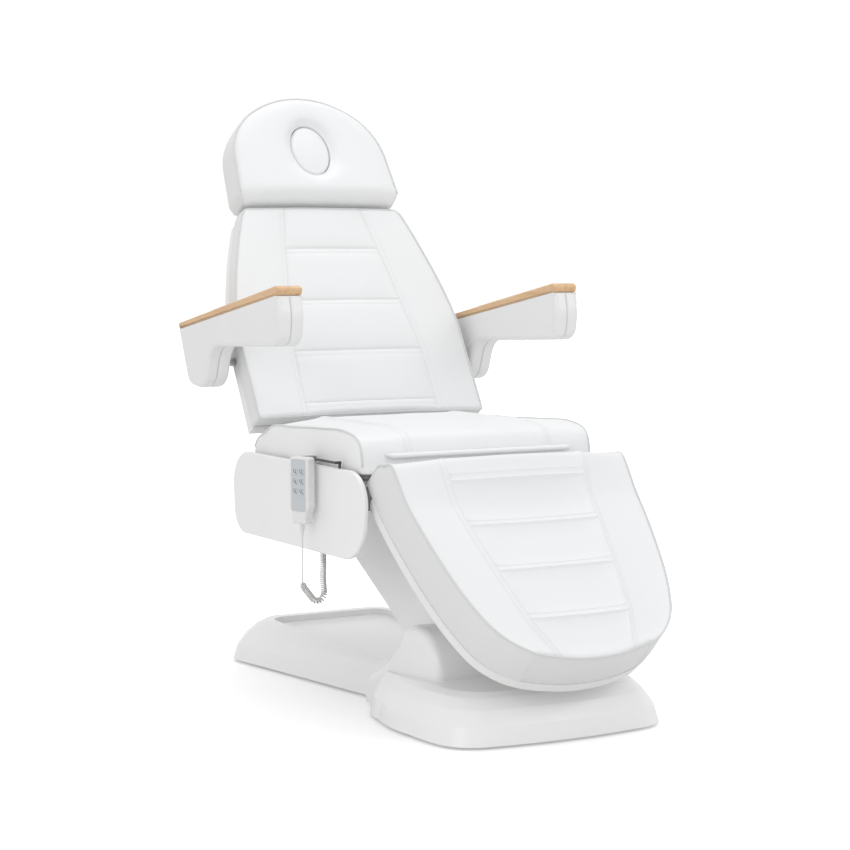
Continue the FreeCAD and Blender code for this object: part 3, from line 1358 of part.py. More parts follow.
def make_legrest():
    half = number("leg_half")
    length = number("leg_length")
    depth = number("leg_cushion_depth")
    full = number("leg_depth")
    crown = number("leg_crown")
    over = number("overrun")
    head = number("leg_head_round")
    sections = wall_sections(leg_corners, depth, crown + over)
    profile = [(0, -depth, 0), (0, -head * 0.8, head), (-head * 0.8, crown * 0.3, 0),
               (-head * 2, crown + over, 0),
               (-length - over, crown + over, 0), (-length - over, -depth, 0)]
    seam_points = [(x * half, -y * length) for x, y in LEG_SEAM_SHARES]
    channels = [-share * length for share in LEG_CHANNEL_SHARES]
    strips = seam_strips(seam_points, channels, -depth / 2, crown + over)
    shape = cushion(sections, profile, half, crown, (-length - over, over), strips)
    add_shape("leg_cushion", shape, drop)

    # Moulded tray under the cushion, with its hinge end rounded off
    inset = number("leg_shell_inset")
    wall = number("shell_wall")
    gap = number("seating_gap")
    start = number("leg_shell_start")
    bend = number("leg_shell_round")
    shell = Part.makeLoft([wire_at(leg_corners(inset * 2.2), -full),
                           wire_at(leg_corners(inset), -full + wall * 2),
                           wire_at(leg_corners(inset * 0.6), -depth - gap)], True, True)
    side = [(-start, -depth, 0), (-length - over, -depth, 0), (-length - over, -full - over, 0),
            (-start - bend, -full - over, 0), (-start - bend, -full, bend * 1.02), (-start, -full + bend, 0)]
    shell = shell.common(side_prism(side, half))
    bar_outer = number("back_bar_inner + back_bar_width + gap_beside_link")
    reach = number("leg_bar_reach + gap_beside_link")
    shell = shell.cut(Part.makeBox(2 * bar_outer, reach + over, full - depth - wall,
                                   Vector(-bar_outer, -reach, wall - full)))
    opening = bend + number("back_bar_width + gap_beside_link")
    shell = shell.cut(Part.makeBox(2 * bar_outer, opening + over, full,
                                   Vector(-bar_outer, -start - opening, -full * 1.5)))
    add_shape("leg_shell", shell.removeSplitter(), drop)

    frame = new_body("leg_frame")
    bar_low = "shell_wall + seating_gap - leg_depth"
    bar_high = "-leg_cushion_depth - 2 * seating_gap"
    near = "-leg_shell_start - leg_shell_round"
    block(frame, "-back_bar_inner", "back_bar_inner", f"{near} - back_bar_width", near, bar_low, bar_high)
    for sign in ("-1", "1"):
        middle = f"{sign} * (back_bar_inner + back_bar_width / 2)"
        block(frame, f"{middle} - back_bar_width / 2", f"{middle} + back_bar_width / 2", "-leg_bar_reach",
              near,
              bar_low, bar_high)
    block(frame, "-back_bar_inner", "back_bar_inner", "-leg_bar_reach", "-leg_bar_reach + back_bar_width",
          bar_low, bar_high)
    ear = in_tilt(LEG_HINGE, LEG_ORIGIN, "leg_drop_angle")
    for sign in ("-1", "1"):
        middle = f"{sign} * (seat_rail_inner - seating_gap - hinge_ear_thickness / 2)"
        low = f"{middle} - hinge_ear_thickness / 2"
        high = f"{middle} + hinge_ear_thickness / 2"
        pad(frame, "YZ_Plane", low, high, [
            (f"{near} - back_bar_width", bar_low, "0"), (ear[0], f"{ear[1]} - hinge_eye_radius", "0"),
            (f"{ear[0]} + hinge_eye_radius", ear[1], "0"), ("seating_gap + seating_gap", bar_high, "0"),
            (f"{near} - back_bar_width", bar_high, "0")])
        discs(frame, "YZ_Plane", low, high, (ear[0], ear[1], "hinge_eye_radius"))
    lever = in_tilt(LEG_LEVER, LEG_ORIGIN, "leg_drop_angle")
    for sign in ("-1", "1"):
        middle = f"{sign} * (motor_eye_half + lug_gap + lug_thickness / 2) - seat_motor_side"
        low = f"{middle} - lug_thickness / 2"
        high = f"{middle} + lug_thickness / 2"
        pad(frame, "YZ_Plane", low, high, [
            (f"{near} - back_bar_width", bar_low, "0"),
            (f"{lever[0]} - motor_eye_half", f"{lever[1]} - motor_eye_half", "0"),
            (f"{lever[0]} + motor_eye_half", f"{lever[1]} + motor_eye_half", "0"), (near, bar_high, "0"),
            (f"{near} - back_bar_width", bar_high, "0")])
        discs(frame, "YZ_Plane", low, high, (lever[0], lever[1], "motor_eye_half + lug_thickness / 2"))
    reach = "seat_rail_inner + overrun"
    bores(frame, "YZ_Plane", f"-({reach})", reach, (ear[0], ear[1], PIN_BORE))
    discs(frame, "YZ_Plane", f"-seat_motor_side - ({LUG_OUTER})", f"{LUG_OUTER} - seat_motor_side",
          (lever[0], lever[1], "link_pin_radius"))
    frame.Placement = drop


def handset_frame():
    """The handset's own frame: across, up and out of its face."""
    turn = math.radians(number("handset_turn_angle"))
    face = Vector(-math.cos(turn), -math.sin(turn), 0)
    across = Vector(math.sin(turn), -math.cos(turn), 0)
    rotation = FreeCAD.Rotation(across, Z_AXIS, face, "XZY")
    origin = Vector(-number("handset_out"), -number("handset_place"), number("handset_level"))
    return FreeCAD.Placement(origin, rotation)


def make_handset():
    held = handset_frame()
    corners = both_sides(by_shares(HANDSET_SHARES, "handset_width / 2", "handset_height",
                                   bend="handset_width / 2"))
    split = "-handset_joint"
    front = new_body("handset_front")
    pad(front, "XY_Plane", split, "0", corners)
    round_edges(front, "handset_edge", at_level(Z_AXIS, "0"))
    recess = rectangle("-keypad_width / 2", "keypad_up", "keypad_width / 2", "keypad_up + keypad_height")
    pocket(front, "XY_Plane", "-keypad_recess", "overrun", recess)
    sheet_body = new_body("keypad_sheet")
    pad(sheet_body, "XY_Plane", "-keypad_recess", "keypad_sheet - keypad_recess", recess)
    for index in range(6):
        across = f"({index % 2} - 0.5) * key_pitch_across"
        up = f"key_bottom + {index // 2} * key_pitch_up"
        for body, low in ((front, "-key_length - key_travel - key_gap - keypad_recess"),
                          (sheet_body, "-keypad_recess - overrun")):
            pocket(body, "XY_Plane", low, "overrun", rectangle(
                f"{across} - key_width / 2 - key_gap", f"{up} - key_gap",
                f"{across} + key_width / 2 + key_gap", f"{up} + key_height + key_gap"))
    front.Placement = held
    sheet_body.Placement = held
    for index in range(6):
        across = f"({index % 2} - 0.5) * key_pitch_across"
        up = f"key_bottom + {index // 2} * key_pitch_up"
        key = new_body(f"key_{index + 1}")
        pad(key, "XY_Plane", "key_proud - key_length", "key_proud", rectangle(
            f"{across} - key_width / 2", up, f"{across} + key_width / 2", f"{up} + key_height"))
        round_edges(key, "key_gap * 2", at_level(Z_AXIS, "key_proud"))
        key.Placement = held

    back = new_body("handset_back")
    pad(back, "XY_Plane", "-handset_depth", split, corners)
    round_edges(back, "handset_edge", at_level(Z_AXIS, "-handset_depth"))
    back.Placement = held

    clip = new_body("handset_clip")
    bridge = "(panel_top + hook_rise + hook_radius + seating_gap - handset_level)"
    far = "-handset_depth - clip_reach"
    pad(clip, "YZ_Plane", "-clip_width / 2", "clip_width / 2", [
        (f"{bridge} - clip_drop", "-handset_depth", "0"), (f"{bridge} + clip_wall", "-handset_depth", "0"),
        (f"{bridge} + clip_wall", far, "0"), (f"{bridge} - clip_lip", far, "0"),
        (f"{bridge} - clip_lip", f"{far} + clip_wall", "0"), (bridge, f"{far} + clip_wall", "0"),
        (bridge, "-handset_depth - clip_wall", "0"),
        (f"{bridge} - clip_drop", "-handset_depth - clip_wall", "0")])
    clip.Placement = held

    length = number("boot_length")
    boot = Part.makeCone(number("boot_end_radius"), number("boot_top_radius"), length,
                         Vector(*LEAD_ROUTE[0]), Z_AXIS)
    add_shape("cord_boot", boot)


def cord_wire(route, name):
    """Straight runs joined by tangent arcs, each as large as its two runs allow."""
    points = [Vector(*point) for point in route]
    edges = []
    start = points[0]
    for before, corner, after in zip(points, points[1:], points[2:]):
        first = (corner - before).normalize()
        second = (after - corner).normalize()
        turn = first.getAngle(second)
        shorter = min((corner - before).Length, (after - corner).Length)
        trim = 0.45 * shorter
        radius = trim / math.tan(turn / 2)
        print(f"{name} bend radius {radius:.1f}")
        enter = corner - first * trim
        leave = corner + second * trim
        bisector = (second - first).normalize()
        centre = corner + bisector * (radius / math.cos(turn / 2))
        top = centre + (corner - centre).normalize() * radius
        edges.append(Part.LineSegment(start, enter).toShape())
        edges.append(Part.Arc(enter, top, leave).toShape())
        start = leave
    edges.append(Part.LineSegment(start, points[-1]).toShape())
    return Part.Wire(edges)


def make_cord():
    for name, route, size in (("cord_lead", LEAD_ROUTE, "lead_radius"),
                              ("cord_curls", CURL_ROUTE, "curl_radius")):
        radius = number(size)
        path = cord_wire(route, name)
        start = Vector(*route[0])
        heading = Vector(*route[1]) - start
        section = Part.Wire(Part.Circle(start, heading, radius).toShape())
        tube = path.makePipeShell([section], True, False)
        solid = Part.Solid(tube) if tube.ShapeType == "Shell" else tube
        share = solid.Volume / (math.pi * radius ** 2 * path.Length)
        print(f"{name} length {path.Length:.1f}, volume share {share:.4f}")
        add_shape(name, solid)


def make_motor(name, x_centre, rear, front, stroke, extends):
    """A linear motor between two link pins: housing with its tube, and the rod that slides in it."""
    start = Vector(x_centre, number(rear[0]), number(rear[1]))
    reach = Vector(x_centre, number(front[0]), number(front[1])) - start
    placement = FreeCAD.Placement(start, FreeCAD.Rotation(Y_AXIS, reach))
    length = reach.Length
    eye_half = number("motor_eye_half")
    radius = number("motor_tube_radius")
    rod = number("motor_rod_radius")
    box_start = number("motor_box_start")
    box = number("motor_box_half")
    box_length = number("motor_box_length")
    eye = number("rod_eye_radius")
    gap = number("seating_gap")
    # A rod that draws in needs its stroke in front of the tube, and one that comes out needs it inside
    travel = number(stroke)
    tube_end = length - eye - number("rod_end_gap") - (0 if extends else travel)
    rod_start = tube_end - number("rod_inside") - (travel if extends else 0)
    hollow = rod_start - gap - (0 if extends else travel)
    housing = Part.makeBox(2 * box, box_length, 2 * box, Vector(-box, box_start, -box))
    housing = housing.fuse([
        Part.makeCylinder(radius, tube_end - box_start, Vector(0, box_start, 0), Y_AXIS),
        Part.makeBox(2 * eye_half, box_start + box, 2 * eye_half, Vector(-eye_half, 0, -eye_half)),
        Part.makeCylinder(number("motor_eye_radius"), 2 * eye_half, Vector(-eye_half, 0, 0), X_AXIS)])
    housing = housing.cut(Part.makeCylinder(rod + number("motor_rod_gap"), length, Vector(0, hollow, 0),
                                            Y_AXIS))
    housing = housing.cut(Part.makeCylinder(number(LINK_BORE), 4 * eye_half, Vector(-2 * eye_half, 0, 0),
                                            X_AXIS))
    add_shape(name, housing.removeSplitter(), placement)
    hole = number("link_pin_radius") + number("rod_eye_slack")
    shaft = Part.makeCylinder(rod, length - (eye + hole) / 2 - rod_start, Vector(0, rod_start, 0), Y_AXIS)
    shaft = shaft.fuse(Part.makeCylinder(eye, 2 * eye_half, Vector(-eye_half, length, 0), X_AXIS))
    shaft = shaft.cut(Part.makeCylinder(hole, 4 * eye_half, Vector(-2 * eye_half, length, 0), X_AXIS))
    add_shape(name.replace("motor", "rod"), shaft.removeSplitter(), placement)


make_base_cover()
make_base_frame()
make_base_feet()
make_hub_pins()
make_mains_inlet()
make_lift_arm()
make_tie_arm()
make_seat_frame()
make_seat_board()
make_seat_pins()
make_seat_cushion()
make_front_flap()
make_side_panels()
make_control_box()
make_handset_hook()
make_back_cushion()
make_back_structure()
make_headrest_sockets()
make_arm_pivots()
make_headrest()
make_armrests()
make_legrest()
make_handset()
make_cord()
make_motor("lift_motor", 0, LIFT_MOTOR, LIFT_LEVER, "lift_stroke", extends=True)
make_motor("back_motor", number("seat_motor_side"), SEAT_MOTOR, BACK_LEVER, "back_stroke", extends=False)
make_motor("leg_motor", -number("seat_motor_side"), SEAT_MOTOR, LEG_LEVER, "leg_stroke", extends=True)
doc.recompute()

failed = []
for item in doc.Objects:
    if "Invalid" in item.State or "Error" in item.State:
        owner = item.getParentGeoFeatureGroup()
        failed.append(f"{owner.Label if owner else ''} {item.Name} {item.State}")
for item in parts:
    if item.Shape.isNull() or not item.Shape.isValid() or item.Shape.Volume <= 0:
        failed.append(f"{item.Label} has no valid solid")
if failed:
    raise RuntimeError("; ".join(failed))

to_middle = FreeCAD.Placement(Vector(0, -number("datum_to_middle"), 0), FreeCAD.Rotation())
os.makedirs("parts", exist_ok=True)
for item in parts:
    item.Placement = to_middle.multiply(item.Placement)
    item.Shape.exportStep(f"parts/{item.Label}.step")
print(f"{len(parts)} pieces written")
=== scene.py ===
"""Finish of the electric treatment chair: upholstery, piping, mouldings, beech tops, handset and its curled cord."""
import math
import bmesh
import bpy
from mathutils import Matrix, Vector, noise


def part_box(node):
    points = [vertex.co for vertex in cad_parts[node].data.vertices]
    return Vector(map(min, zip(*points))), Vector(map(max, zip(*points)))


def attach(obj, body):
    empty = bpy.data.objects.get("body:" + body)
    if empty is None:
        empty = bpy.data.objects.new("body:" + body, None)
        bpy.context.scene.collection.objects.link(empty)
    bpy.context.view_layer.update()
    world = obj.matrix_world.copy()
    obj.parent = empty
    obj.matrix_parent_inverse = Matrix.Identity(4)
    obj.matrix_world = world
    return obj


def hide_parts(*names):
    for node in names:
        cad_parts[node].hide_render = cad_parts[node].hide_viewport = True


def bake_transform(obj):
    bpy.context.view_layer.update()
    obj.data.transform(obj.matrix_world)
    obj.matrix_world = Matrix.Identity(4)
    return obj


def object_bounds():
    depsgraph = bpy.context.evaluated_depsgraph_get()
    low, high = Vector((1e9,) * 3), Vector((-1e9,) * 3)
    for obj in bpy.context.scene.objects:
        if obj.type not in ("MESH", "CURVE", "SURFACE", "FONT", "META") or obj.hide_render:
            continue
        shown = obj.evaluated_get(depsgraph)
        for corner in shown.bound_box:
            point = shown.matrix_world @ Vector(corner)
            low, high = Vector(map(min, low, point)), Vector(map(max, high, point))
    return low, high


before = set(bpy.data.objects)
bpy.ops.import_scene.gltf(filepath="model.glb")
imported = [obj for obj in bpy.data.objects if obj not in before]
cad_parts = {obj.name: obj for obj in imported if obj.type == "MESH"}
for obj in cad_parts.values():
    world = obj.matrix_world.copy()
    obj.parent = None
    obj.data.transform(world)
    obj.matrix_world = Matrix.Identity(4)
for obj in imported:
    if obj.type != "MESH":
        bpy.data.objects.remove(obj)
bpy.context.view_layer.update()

MM = 0.001
UNMOVED = Matrix.Identity(4)
# Places shared with the frame, in metres; those along the chair are measured from a line DATUM ahead of its origin
DATUM = 40 * MM
BACK_PLACE = Vector((0, 282.6 * MM - DATUM, 628 * MM))
BACK_ANGLE = math.radians(60.3)
LEG_PLACE = Vector((0, -292 * MM - DATUM, 578 * MM))
LEG_ANGLE = math.radians(44.4)
LEAN = Matrix.Translation(BACK_PLACE) @ Matrix.Rotation(BACK_ANGLE, 4, "X")
HEAD_LEAN = LEAN @ Matrix.Translation((0, 609.4 * MM, 24.8 * MM))
DROP = Matrix.Translation(LEG_PLACE) @ Matrix.Rotation(LEG_ANGLE, 4, "X")

PIPING_RADIUS = 2.6 * MM
PIPING_OUT, PIPING_UP, PIPING_PITCH = 1.4 * MM, 0.4 * MM, 7 * MM
PROFILE_PITCH = 6 * MM

# The handset stands upright, turned about the vertical
HANDSET_TURN = math.radians(19)
HANDSET_ACROSS = Vector((math.sin(HANDSET_TURN), -math.cos(HANDSET_TURN), 0))
HANDSET_OUT = Vector((-math.cos(HANDSET_TURN), -math.sin(HANDSET_TURN), 0))

# Camera, as the photograph was taken
CAMERA_AIM = Vector((0, 33 * MM - DATUM, 620 * MM))
CAMERA_AZIMUTH = math.radians(-29.5)
CAMERA_RISE = math.radians(4.56)
CAMERA_DISTANCE = 5.095
CAMERA_LENS = 93.18


class Value:
    """A shader socket with arithmetic."""

    def __init__(self, finish, socket):
        self.finish = finish
        self.socket = socket

    def _math(self, operation, first, second):
        return self.finish.node("ShaderNodeMath", {"operation": operation}, {0: first, 1: second})

    def __add__(self, other):
        return self._math("ADD", self, other)

    __radd__ = __add__

    def __sub__(self, other):
        return self._math("SUBTRACT", self, other)

    def __rsub__(self, other):
        return self._math("SUBTRACT", other, self)

    def __mul__(self, other):
        return self._math("MULTIPLY", self, other)

    __rmul__ = __mul__


class Nodes:
    """A node tree whose nodes are added one by one."""

    def __init__(self, tree):
        self.tree = tree

    def node(self, kind, settings=None, values=None, output=0):
        item = self.tree.nodes.new(kind)
        for name, value in (settings or {}).items():
            if name == "stops":
                self._ramp(item.color_ramp, value)
            else:
                setattr(item, name, value)
        for name, value in (values or {}).items():
            if isinstance(value, Value):
                self.tree.links.new(value.socket, item.inputs[name])
            else:
                item.inputs[name].default_value = value
        return Value(self, item.outputs[output])

    def _ramp(self, ramp, stops):
        while len(ramp.elements) < len(stops):
            ramp.elements.new(0.5)
        for element, (position, colour) in zip(ramp.elements, stops):
            element.position = position
            element.color = (*colour, 1)


class Finish(Nodes):
    """A material that starts as one plain surface."""

    def __init__(self, name, colour, roughness, metallic=0.0, coat=0.0):
        self.material = bpy.data.materials.new(name)
        self.material.use_nodes = True
        self.material.diffuse_color = (*colour, 1)
        super().__init__(self.material.node_tree)
        self.shader = self.tree.nodes["Principled BSDF"]
        for socket, value in (("Base Color", (*colour, 1)), ("Roughness", roughness), ("Metallic", metallic),
                              ("Coat Weight", coat)):
            self.shader.inputs[socket].default_value = value
        self.place = self.node("ShaderNodeTexCoord", output="Object")

    def stretched(self, scale):
        return self.node("ShaderNodeMapping", None, {"Vector": self.place, "Scale": scale})

    def noise(self, scale, detail=2.0, place=None, rough=0.5):
        return self.node("ShaderNodeTexNoise", None, {
            "Vector": place or self.place, "Scale": scale, "Detail": detail, "Roughness": rough})

    def cells(self, scale, place=None):
        return self.node("ShaderNodeTexVoronoi", {"feature": "F1"}, {"Vector": place or self.place, "Scale": scale})

    def blend(self, share, first, second):
        """Mix of two colours, each red, green and blue or what another node gives."""
        first, second = (colour if isinstance(colour, Value) else (*colour, 1) for colour in (first, second))
        return self.node("ShaderNodeMix", {"data_type": "RGBA"}, {0: share, 6: first, 7: second}, output=2)

    def ranged(self, value, low, high, to_low, to_high):
        return self.node("ShaderNodeMapRange", None, {"Value": value, 1: low, 2: high, 3: to_low, 4: to_high})

    def feed(self, name, value):
        self.tree.links.new(value.socket, self.shader.inputs[name])

    def bump(self, height, strength, distance):
        self.feed("Normal", self.node("ShaderNodeBump", None, {
            "Height": height, "Strength": strength, "Distance": distance}))


def leatherette(name, light, shade, grain=1.0):
    """Coated upholstery: fine pebble grain, soft sheen and faint creases."""
    finish = Finish(name, light, 0.42)
    pebble = finish.cells(850 * grain)
    pores = finish.noise(1900 * grain, 1)
    creases = finish.noise(34, 3, finish.stretched((1, 0.55, 1.4)), 0.6)
    cloudy = finish.noise(5, 2)
    finish.feed("Base Color", finish.blend(cloudy * 0.7 + pores * 0.2, light, shade))
    finish.feed("Roughness", 0.36 + cloudy * 0.12 + pebble * 0.08)
    finish.bump(pebble * 0.6 + pores * 0.25 + creases * 2.2, 0.28, 0.00035)
    return finish.material


def moulding(name, colour, roughness, coat=0.0, texture=1400, depth=0.00006):
    """Injection-moulded plastic: a faint orange-peel or spark-eroded surface."""
    finish = Finish(name, colour, roughness, coat=coat)
    peel = finish.noise(texture, 2)
    broad = finish.noise(7, 2)
    darker = tuple(channel * 0.965 for channel in colour)
    finish.feed("Base Color", finish.blend(broad, colour, darker))
    finish.feed("Roughness", roughness - 0.04 + broad * 0.08)
    finish.bump(peel + broad * 3, 0.25, depth)
    return finish.material


def beech(name):
    """Steamed beech under clear satin lacquer: long grain, short dark flecks and soft bands."""
    finish = Finish(name, (0.66, 0.42, 0.22), 0.4, coat=0.25)
    along = finish.stretched((26, 1.6, 26))
    bands = finish.noise(3.2, 4, along, 0.62)
    fine = finish.noise(16, 5, finish.stretched((46, 2.2, 46)), 0.7)
    flecks = finish.cells(46, finish.stretched((22, 1.1, 22)))
    tone = bands * 0.62 + fine * 0.38
    warm = finish.node("ShaderNodeValToRGB", {"stops": (
        (0.3, (0.50, 0.29, 0.135)), (0.46, (0.66, 0.415, 0.215)), (0.62, (0.74, 0.50, 0.285)))}, {"Fac": tone})
    mark = finish.ranged(flecks, 0.02, 0.12, 0.35, 0.0)
    finish.feed("Base Color", finish.blend(mark, warm, (0.36, 0.19, 0.085)))
    finish.feed("Roughness", 0.34 + fine * 0.14)
    finish.bump(fine * 0.7 - mark * 0.6, 0.3, 0.00012)
    return finish.material


def metal(name, colour, roughness, brushed=0.0):
    """Turned, drawn or plated steel."""
    finish = Finish(name, colour, roughness, metallic=1.0)
    lines = finish.noise(90, 3, finish.stretched((1, 12, 12)))
    finish.feed("Roughness", roughness + lines * (0.05 + brushed))
    finish.bump(lines, 0.12 + brushed, 0.00004)
    return finish.material


def powder_coat(name, colour):
    """Powder-coated steel with its fine pebbled skin."""
    finish = Finish(name, colour, 0.38)
    skin = finish.noise(900, 2)
    broad = finish.noise(9, 2)
    finish.feed("Base Color", finish.blend(broad, colour, tuple(channel * 0.94 for channel in colour)))
    finish.feed("Roughness", 0.32 + broad * 0.12)
    finish.bump(skin, 0.3, 0.00008)
    return finish.material


WHITE_HIDE = leatherette("white_leatherette", (0.83, 0.838, 0.845), (0.80, 0.81, 0.82))
# Darker copy of the white leatherette for the cushions' side walls: painted shade where the walls face away from the
# light.
SHADED_WALL_HIDE = leatherette("shaded_wall_leatherette", (0.765, 0.767, 0.765), (0.735, 0.737, 0.735))
# Lighter copy of the white leatherette for the seat's side walls: painted light.
LIT_SEAT_WALL_HIDE = leatherette("lit_seat_wall_leatherette", (0.87, 0.872, 0.872), (0.84, 0.842, 0.842))
# Grey copy of the white leatherette for the piping: painted shade standing in for the small shadow line beside it.
SHADED_PIPING_HIDE = leatherette("shaded_piping_leatherette", (0.69, 0.695, 0.70), (0.64, 0.645, 0.65), 1.6)
THREAD = moulding("white_thread", (0.78, 0.78, 0.77), 0.7, texture=2600, depth=0.0001)
SATIN_WHITE = moulding("satin_white_moulding", (0.885, 0.885, 0.883), 0.3, coat=0.2)
# Darker copy of the satin white moulding for the armrest shells: painted shade.
SHADED_ARM_WHITE = moulding("shaded_armrest_moulding", (0.815, 0.815, 0.813), 0.32, coat=0.2)
GRAINED_WHITE = moulding("grained_white_moulding", (0.85, 0.85, 0.845), 0.5, texture=900, depth=0.00012)
PALE_GREY = moulding("pale_grey_moulding", (0.79, 0.79, 0.785), 0.42, texture=1600)
KEYPAD = moulding("grey_blue_keypad", (0.57, 0.595, 0.62), 0.5, texture=2200)
KEY_WHITE = moulding("pale_rubber_key", (0.60, 0.625, 0.65), 0.55, texture=2400)
SYMBOL = moulding("dark_symbol_ink", (0.09, 0.11, 0.15), 0.6, texture=2600)
CLIP_GREY = moulding("grey_clip_moulding", (0.36, 0.365, 0.36), 0.45, texture=1500)
HOUSING = moulding("grey_housing", (0.30, 0.305, 0.31), 0.5, texture=700, depth=0.0001)
BLACK = moulding("black_moulding", (0.03, 0.03, 0.032), 0.45, texture=900)
SHEATH = moulding("white_cable_sheath", (0.74, 0.735, 0.72), 0.4, texture=1300)
WIRE = powder_coat("dark_coated_wire", (0.045, 0.045, 0.05))
FRAME_WHITE = powder_coat("white_powder_coat", (0.72, 0.72, 0.715))
FRAME_GREY = powder_coat("grey_powder_coat", (0.34, 0.34, 0.345))
BEECH = beech("lacquered_beech")
BOARD = moulding("white_faced_board", (0.74, 0.74, 0.73), 0.55, texture=500, depth=0.0001)
STEEL = metal("turned_steel", (0.56, 0.56, 0.57), 0.3, 0.1)
CHROME = metal("polished_chrome", (0.62, 0.62, 0.64), 0.1)


def finish_nodes():
    """Gives the frame's own pieces their finishes."""
    finishes = {
        SATIN_WHITE: ("base_cover", "lift_arm_cover", "side_panel_left", "side_panel_right"),
        GRAINED_WHITE: ("back_shell", "leg_shell", "headrest_board"),
        FRAME_WHITE: ("lift_arm_frame", "tie_arm", "seat_frame", "back_frame", "leg_frame"),
        FRAME_GREY: ("base_frame",),
        STEEL: ("hub_pins", "hinge_pins", "seat_link_pins", "panel_spacers", "headrest_sockets", "arm_pivots"),
        CHROME: ("headrest_rods", "lift_rod", "back_rod", "leg_rod"),
        HOUSING: ("lift_motor", "back_motor", "leg_motor", "control_box"),
        BLACK: ("base_feet", "mains_inlet", "handset_socket"),
        BOARD: ("seat_board", "back_board"),
        PALE_GREY: ("handset_front", "handset_back"),
        KEY_WHITE: tuple(f"key_{index}" for index in range(1, 7)),
        CLIP_GREY: ("handset_clip",),
        WIRE: ("handset_hook",),
        SHEATH: ("cord_boot",),
    }
    for material, names in finishes.items():
        for name in names:
            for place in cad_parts[name].material_slots:
                place.material = material


def add_piece(name, mesh, materials, smooth):
    """Puts a mesh into the scene with its materials."""
    for material in materials:
        mesh.materials.append(material)
    if smooth:
        mesh.polygons.foreach_set("use_smooth", [True] * len(mesh.polygons))
    piece = bpy.data.objects.new(name, mesh)
    bpy.context.collection.objects.link(piece)
    return piece


def add_mesh(name, vertices, faces, place=UNMOVED, materials=(), smooth=True):
    mesh = bpy.data.meshes.new(name)
    mesh.from_pydata([place @ Vector(vertex) for vertex in vertices], [], faces)
    mesh.validate()
    return add_piece(name, mesh, materials, smooth)


def add_worked(name, work, material, smooth=True):
    """Turns a bmesh into a piece, its faces outwards."""
    bmesh.ops.recalc_face_normals(work, faces=work.faces)
    mesh = bpy.data.meshes.new(name)
    work.to_mesh(mesh)
    work.free()
    return add_piece(name, mesh, [material], smooth)


def band(one, other, closed=True):
    """Quads between two rows that run side by side."""
    count = len(one)
    return [(one[step], one[(step + 1) % count], other[(step + 1) % count], other[step])
            for step in range(count if closed else count - 1)]


def stacked(rows, closed=True):
    """Points of rows of equal length, the numbers of each row's points, and the quads between the rows."""
    size = len(rows[0])
    vertices = [point for row in rows for point in row]
    numbers = [range(start, start + size) for start in range(0, len(vertices), size)]
    return vertices, numbers, [quad for one, other in zip(numbers, numbers[1:]) for quad in band(one, other, closed)]


def clamp(value):
    return min(max(value, 0), 1)


def arc_points(start, end, radius, steps=12):
    """Points from start up to, but not with, end, bulging to the right for a positive radius."""
    start, end = Vector(start), Vector(end)
    if not radius:
        return [start]
    chord = end - start
    height = math.sqrt(max(radius * radius - chord.length_squared / 4, 0)) * (1 if radius > 0 else -1)
    centre = (start + end) / 2 + Vector((-chord.y, chord.x)).normalized() * height
    first = start - centre
    turn = first.angle_signed(end - centre)
    return [centre + Matrix.Rotation(-turn * step / steps, 2) @ first for step in range(steps)]


def chain(corners):
    """One line through corners (across, along, radius of the arc that follows)."""
    points = []
    for (x, y, bend), (next_x, next_y, _) in zip(corners, corners[1:]):
        points += arc_points((x, y), (next_x, next_y), bend)
    points.append(Vector(corners[-1][:2]))
    return points


def distances(points):
    """How far along a line each of its points lies."""
    found = [0.0]
    for a, b in zip(points, points[1:]):
        found.append(found[-1] + (b - a).length)
    return found


def at_distances(points, wanted):
    """Points of a line at these distances along it."""
    reached = distances(points)
    result = []
    index = 0
    for goal in wanted:
        goal = min(max(goal, 0), reached[-1])
        while index < len(points) - 2 and reached[index + 1] < goal:
            index += 1
        step = reached[index + 1] - reached[index]
        result.append(points[index].lerp(points[index + 1], (goal - reached[index]) / step if step else 0))
    return result


def evenly(points, pitch):
    total = distances(points)[-1]
    count = max(int(total / pitch), 2)
    return at_distances(points, [total * index / count for index in range(count + 1)])


def soften(points, rounds):
    """Rounds a line's corners a little, its ends kept."""
    for _ in range(rounds):
        points = [points[0]] + [(a + b * 2 + c) / 4 for a, b, c in zip(points, points[1:], points[2:])] + [points[-1]]
    return points


def crossing(points, level):
    """Across-place of a line at one level along."""
    for a, b in zip(points, points[1:]):
        if min(a.y, b.y) <= level <= max(a.y, b.y) and a.y != b.y:
            return a.x + (b.x - a.x) * (level - a.y) / (b.y - a.y)
    return min(points, key=lambda p: abs(p.y - level)).x


def near(distance, width):
    """1 at a seam, fading to nothing within a few widths."""
    return math.exp(-(distance / width) ** 2)


def pucker(along, away, seed):
    """Small gathers that run away from a seam."""
    wave = math.sin(along * 370 + 2.5 * noise.noise((along * 11, seed, 0))) * noise.noise((along * 23, seed, 3.1))
    return wave * math.exp(-away / (11 * MM))


# Columns of a face right of its middle, and rows at a channel: millimetres from the seam, the edge or the channel
COLUMN_STEPS = (-6.5, -3, -1.2, 0, 1.2, 3, 6, 8.7, 11, 13.3)
EDGE_STEPS = (9, 5, 2, 0)
CHANNEL_STEPS = (-16.6, -14, -11.4, -6.5, -3, -1.2, 0, 1.2, 3, 6.5)
END_STEPS = (2, 5, 9)
INNER_COLUMNS, OUTER_COLUMNS = 10, 7
SEAM_COLUMN = INNER_COLUMNS + COLUMN_STEPS.index(0)
TOPSTITCH_COLUMN = INNER_COLUMNS + COLUMN_STEPS.index(11)
ROW_PITCH = 9 * MM

# How deep and how wide the thread draws a face in, and how far the topstitching runs from its seam or channel
CHANNEL_DEPTH, SEAM_DEPTH, TOPSTITCH_DEPTH = 2.6 * MM, 2.4 * MM, 0.8 * MM
SEAM_WIDTH, TOPSTITCH_WIDTH = 2.1 * MM, 2 * MM
TOPSTITCH_OFF_SEAM, TOPSTITCH_OFF_CHANNEL = 11 * MM, 14 * MM


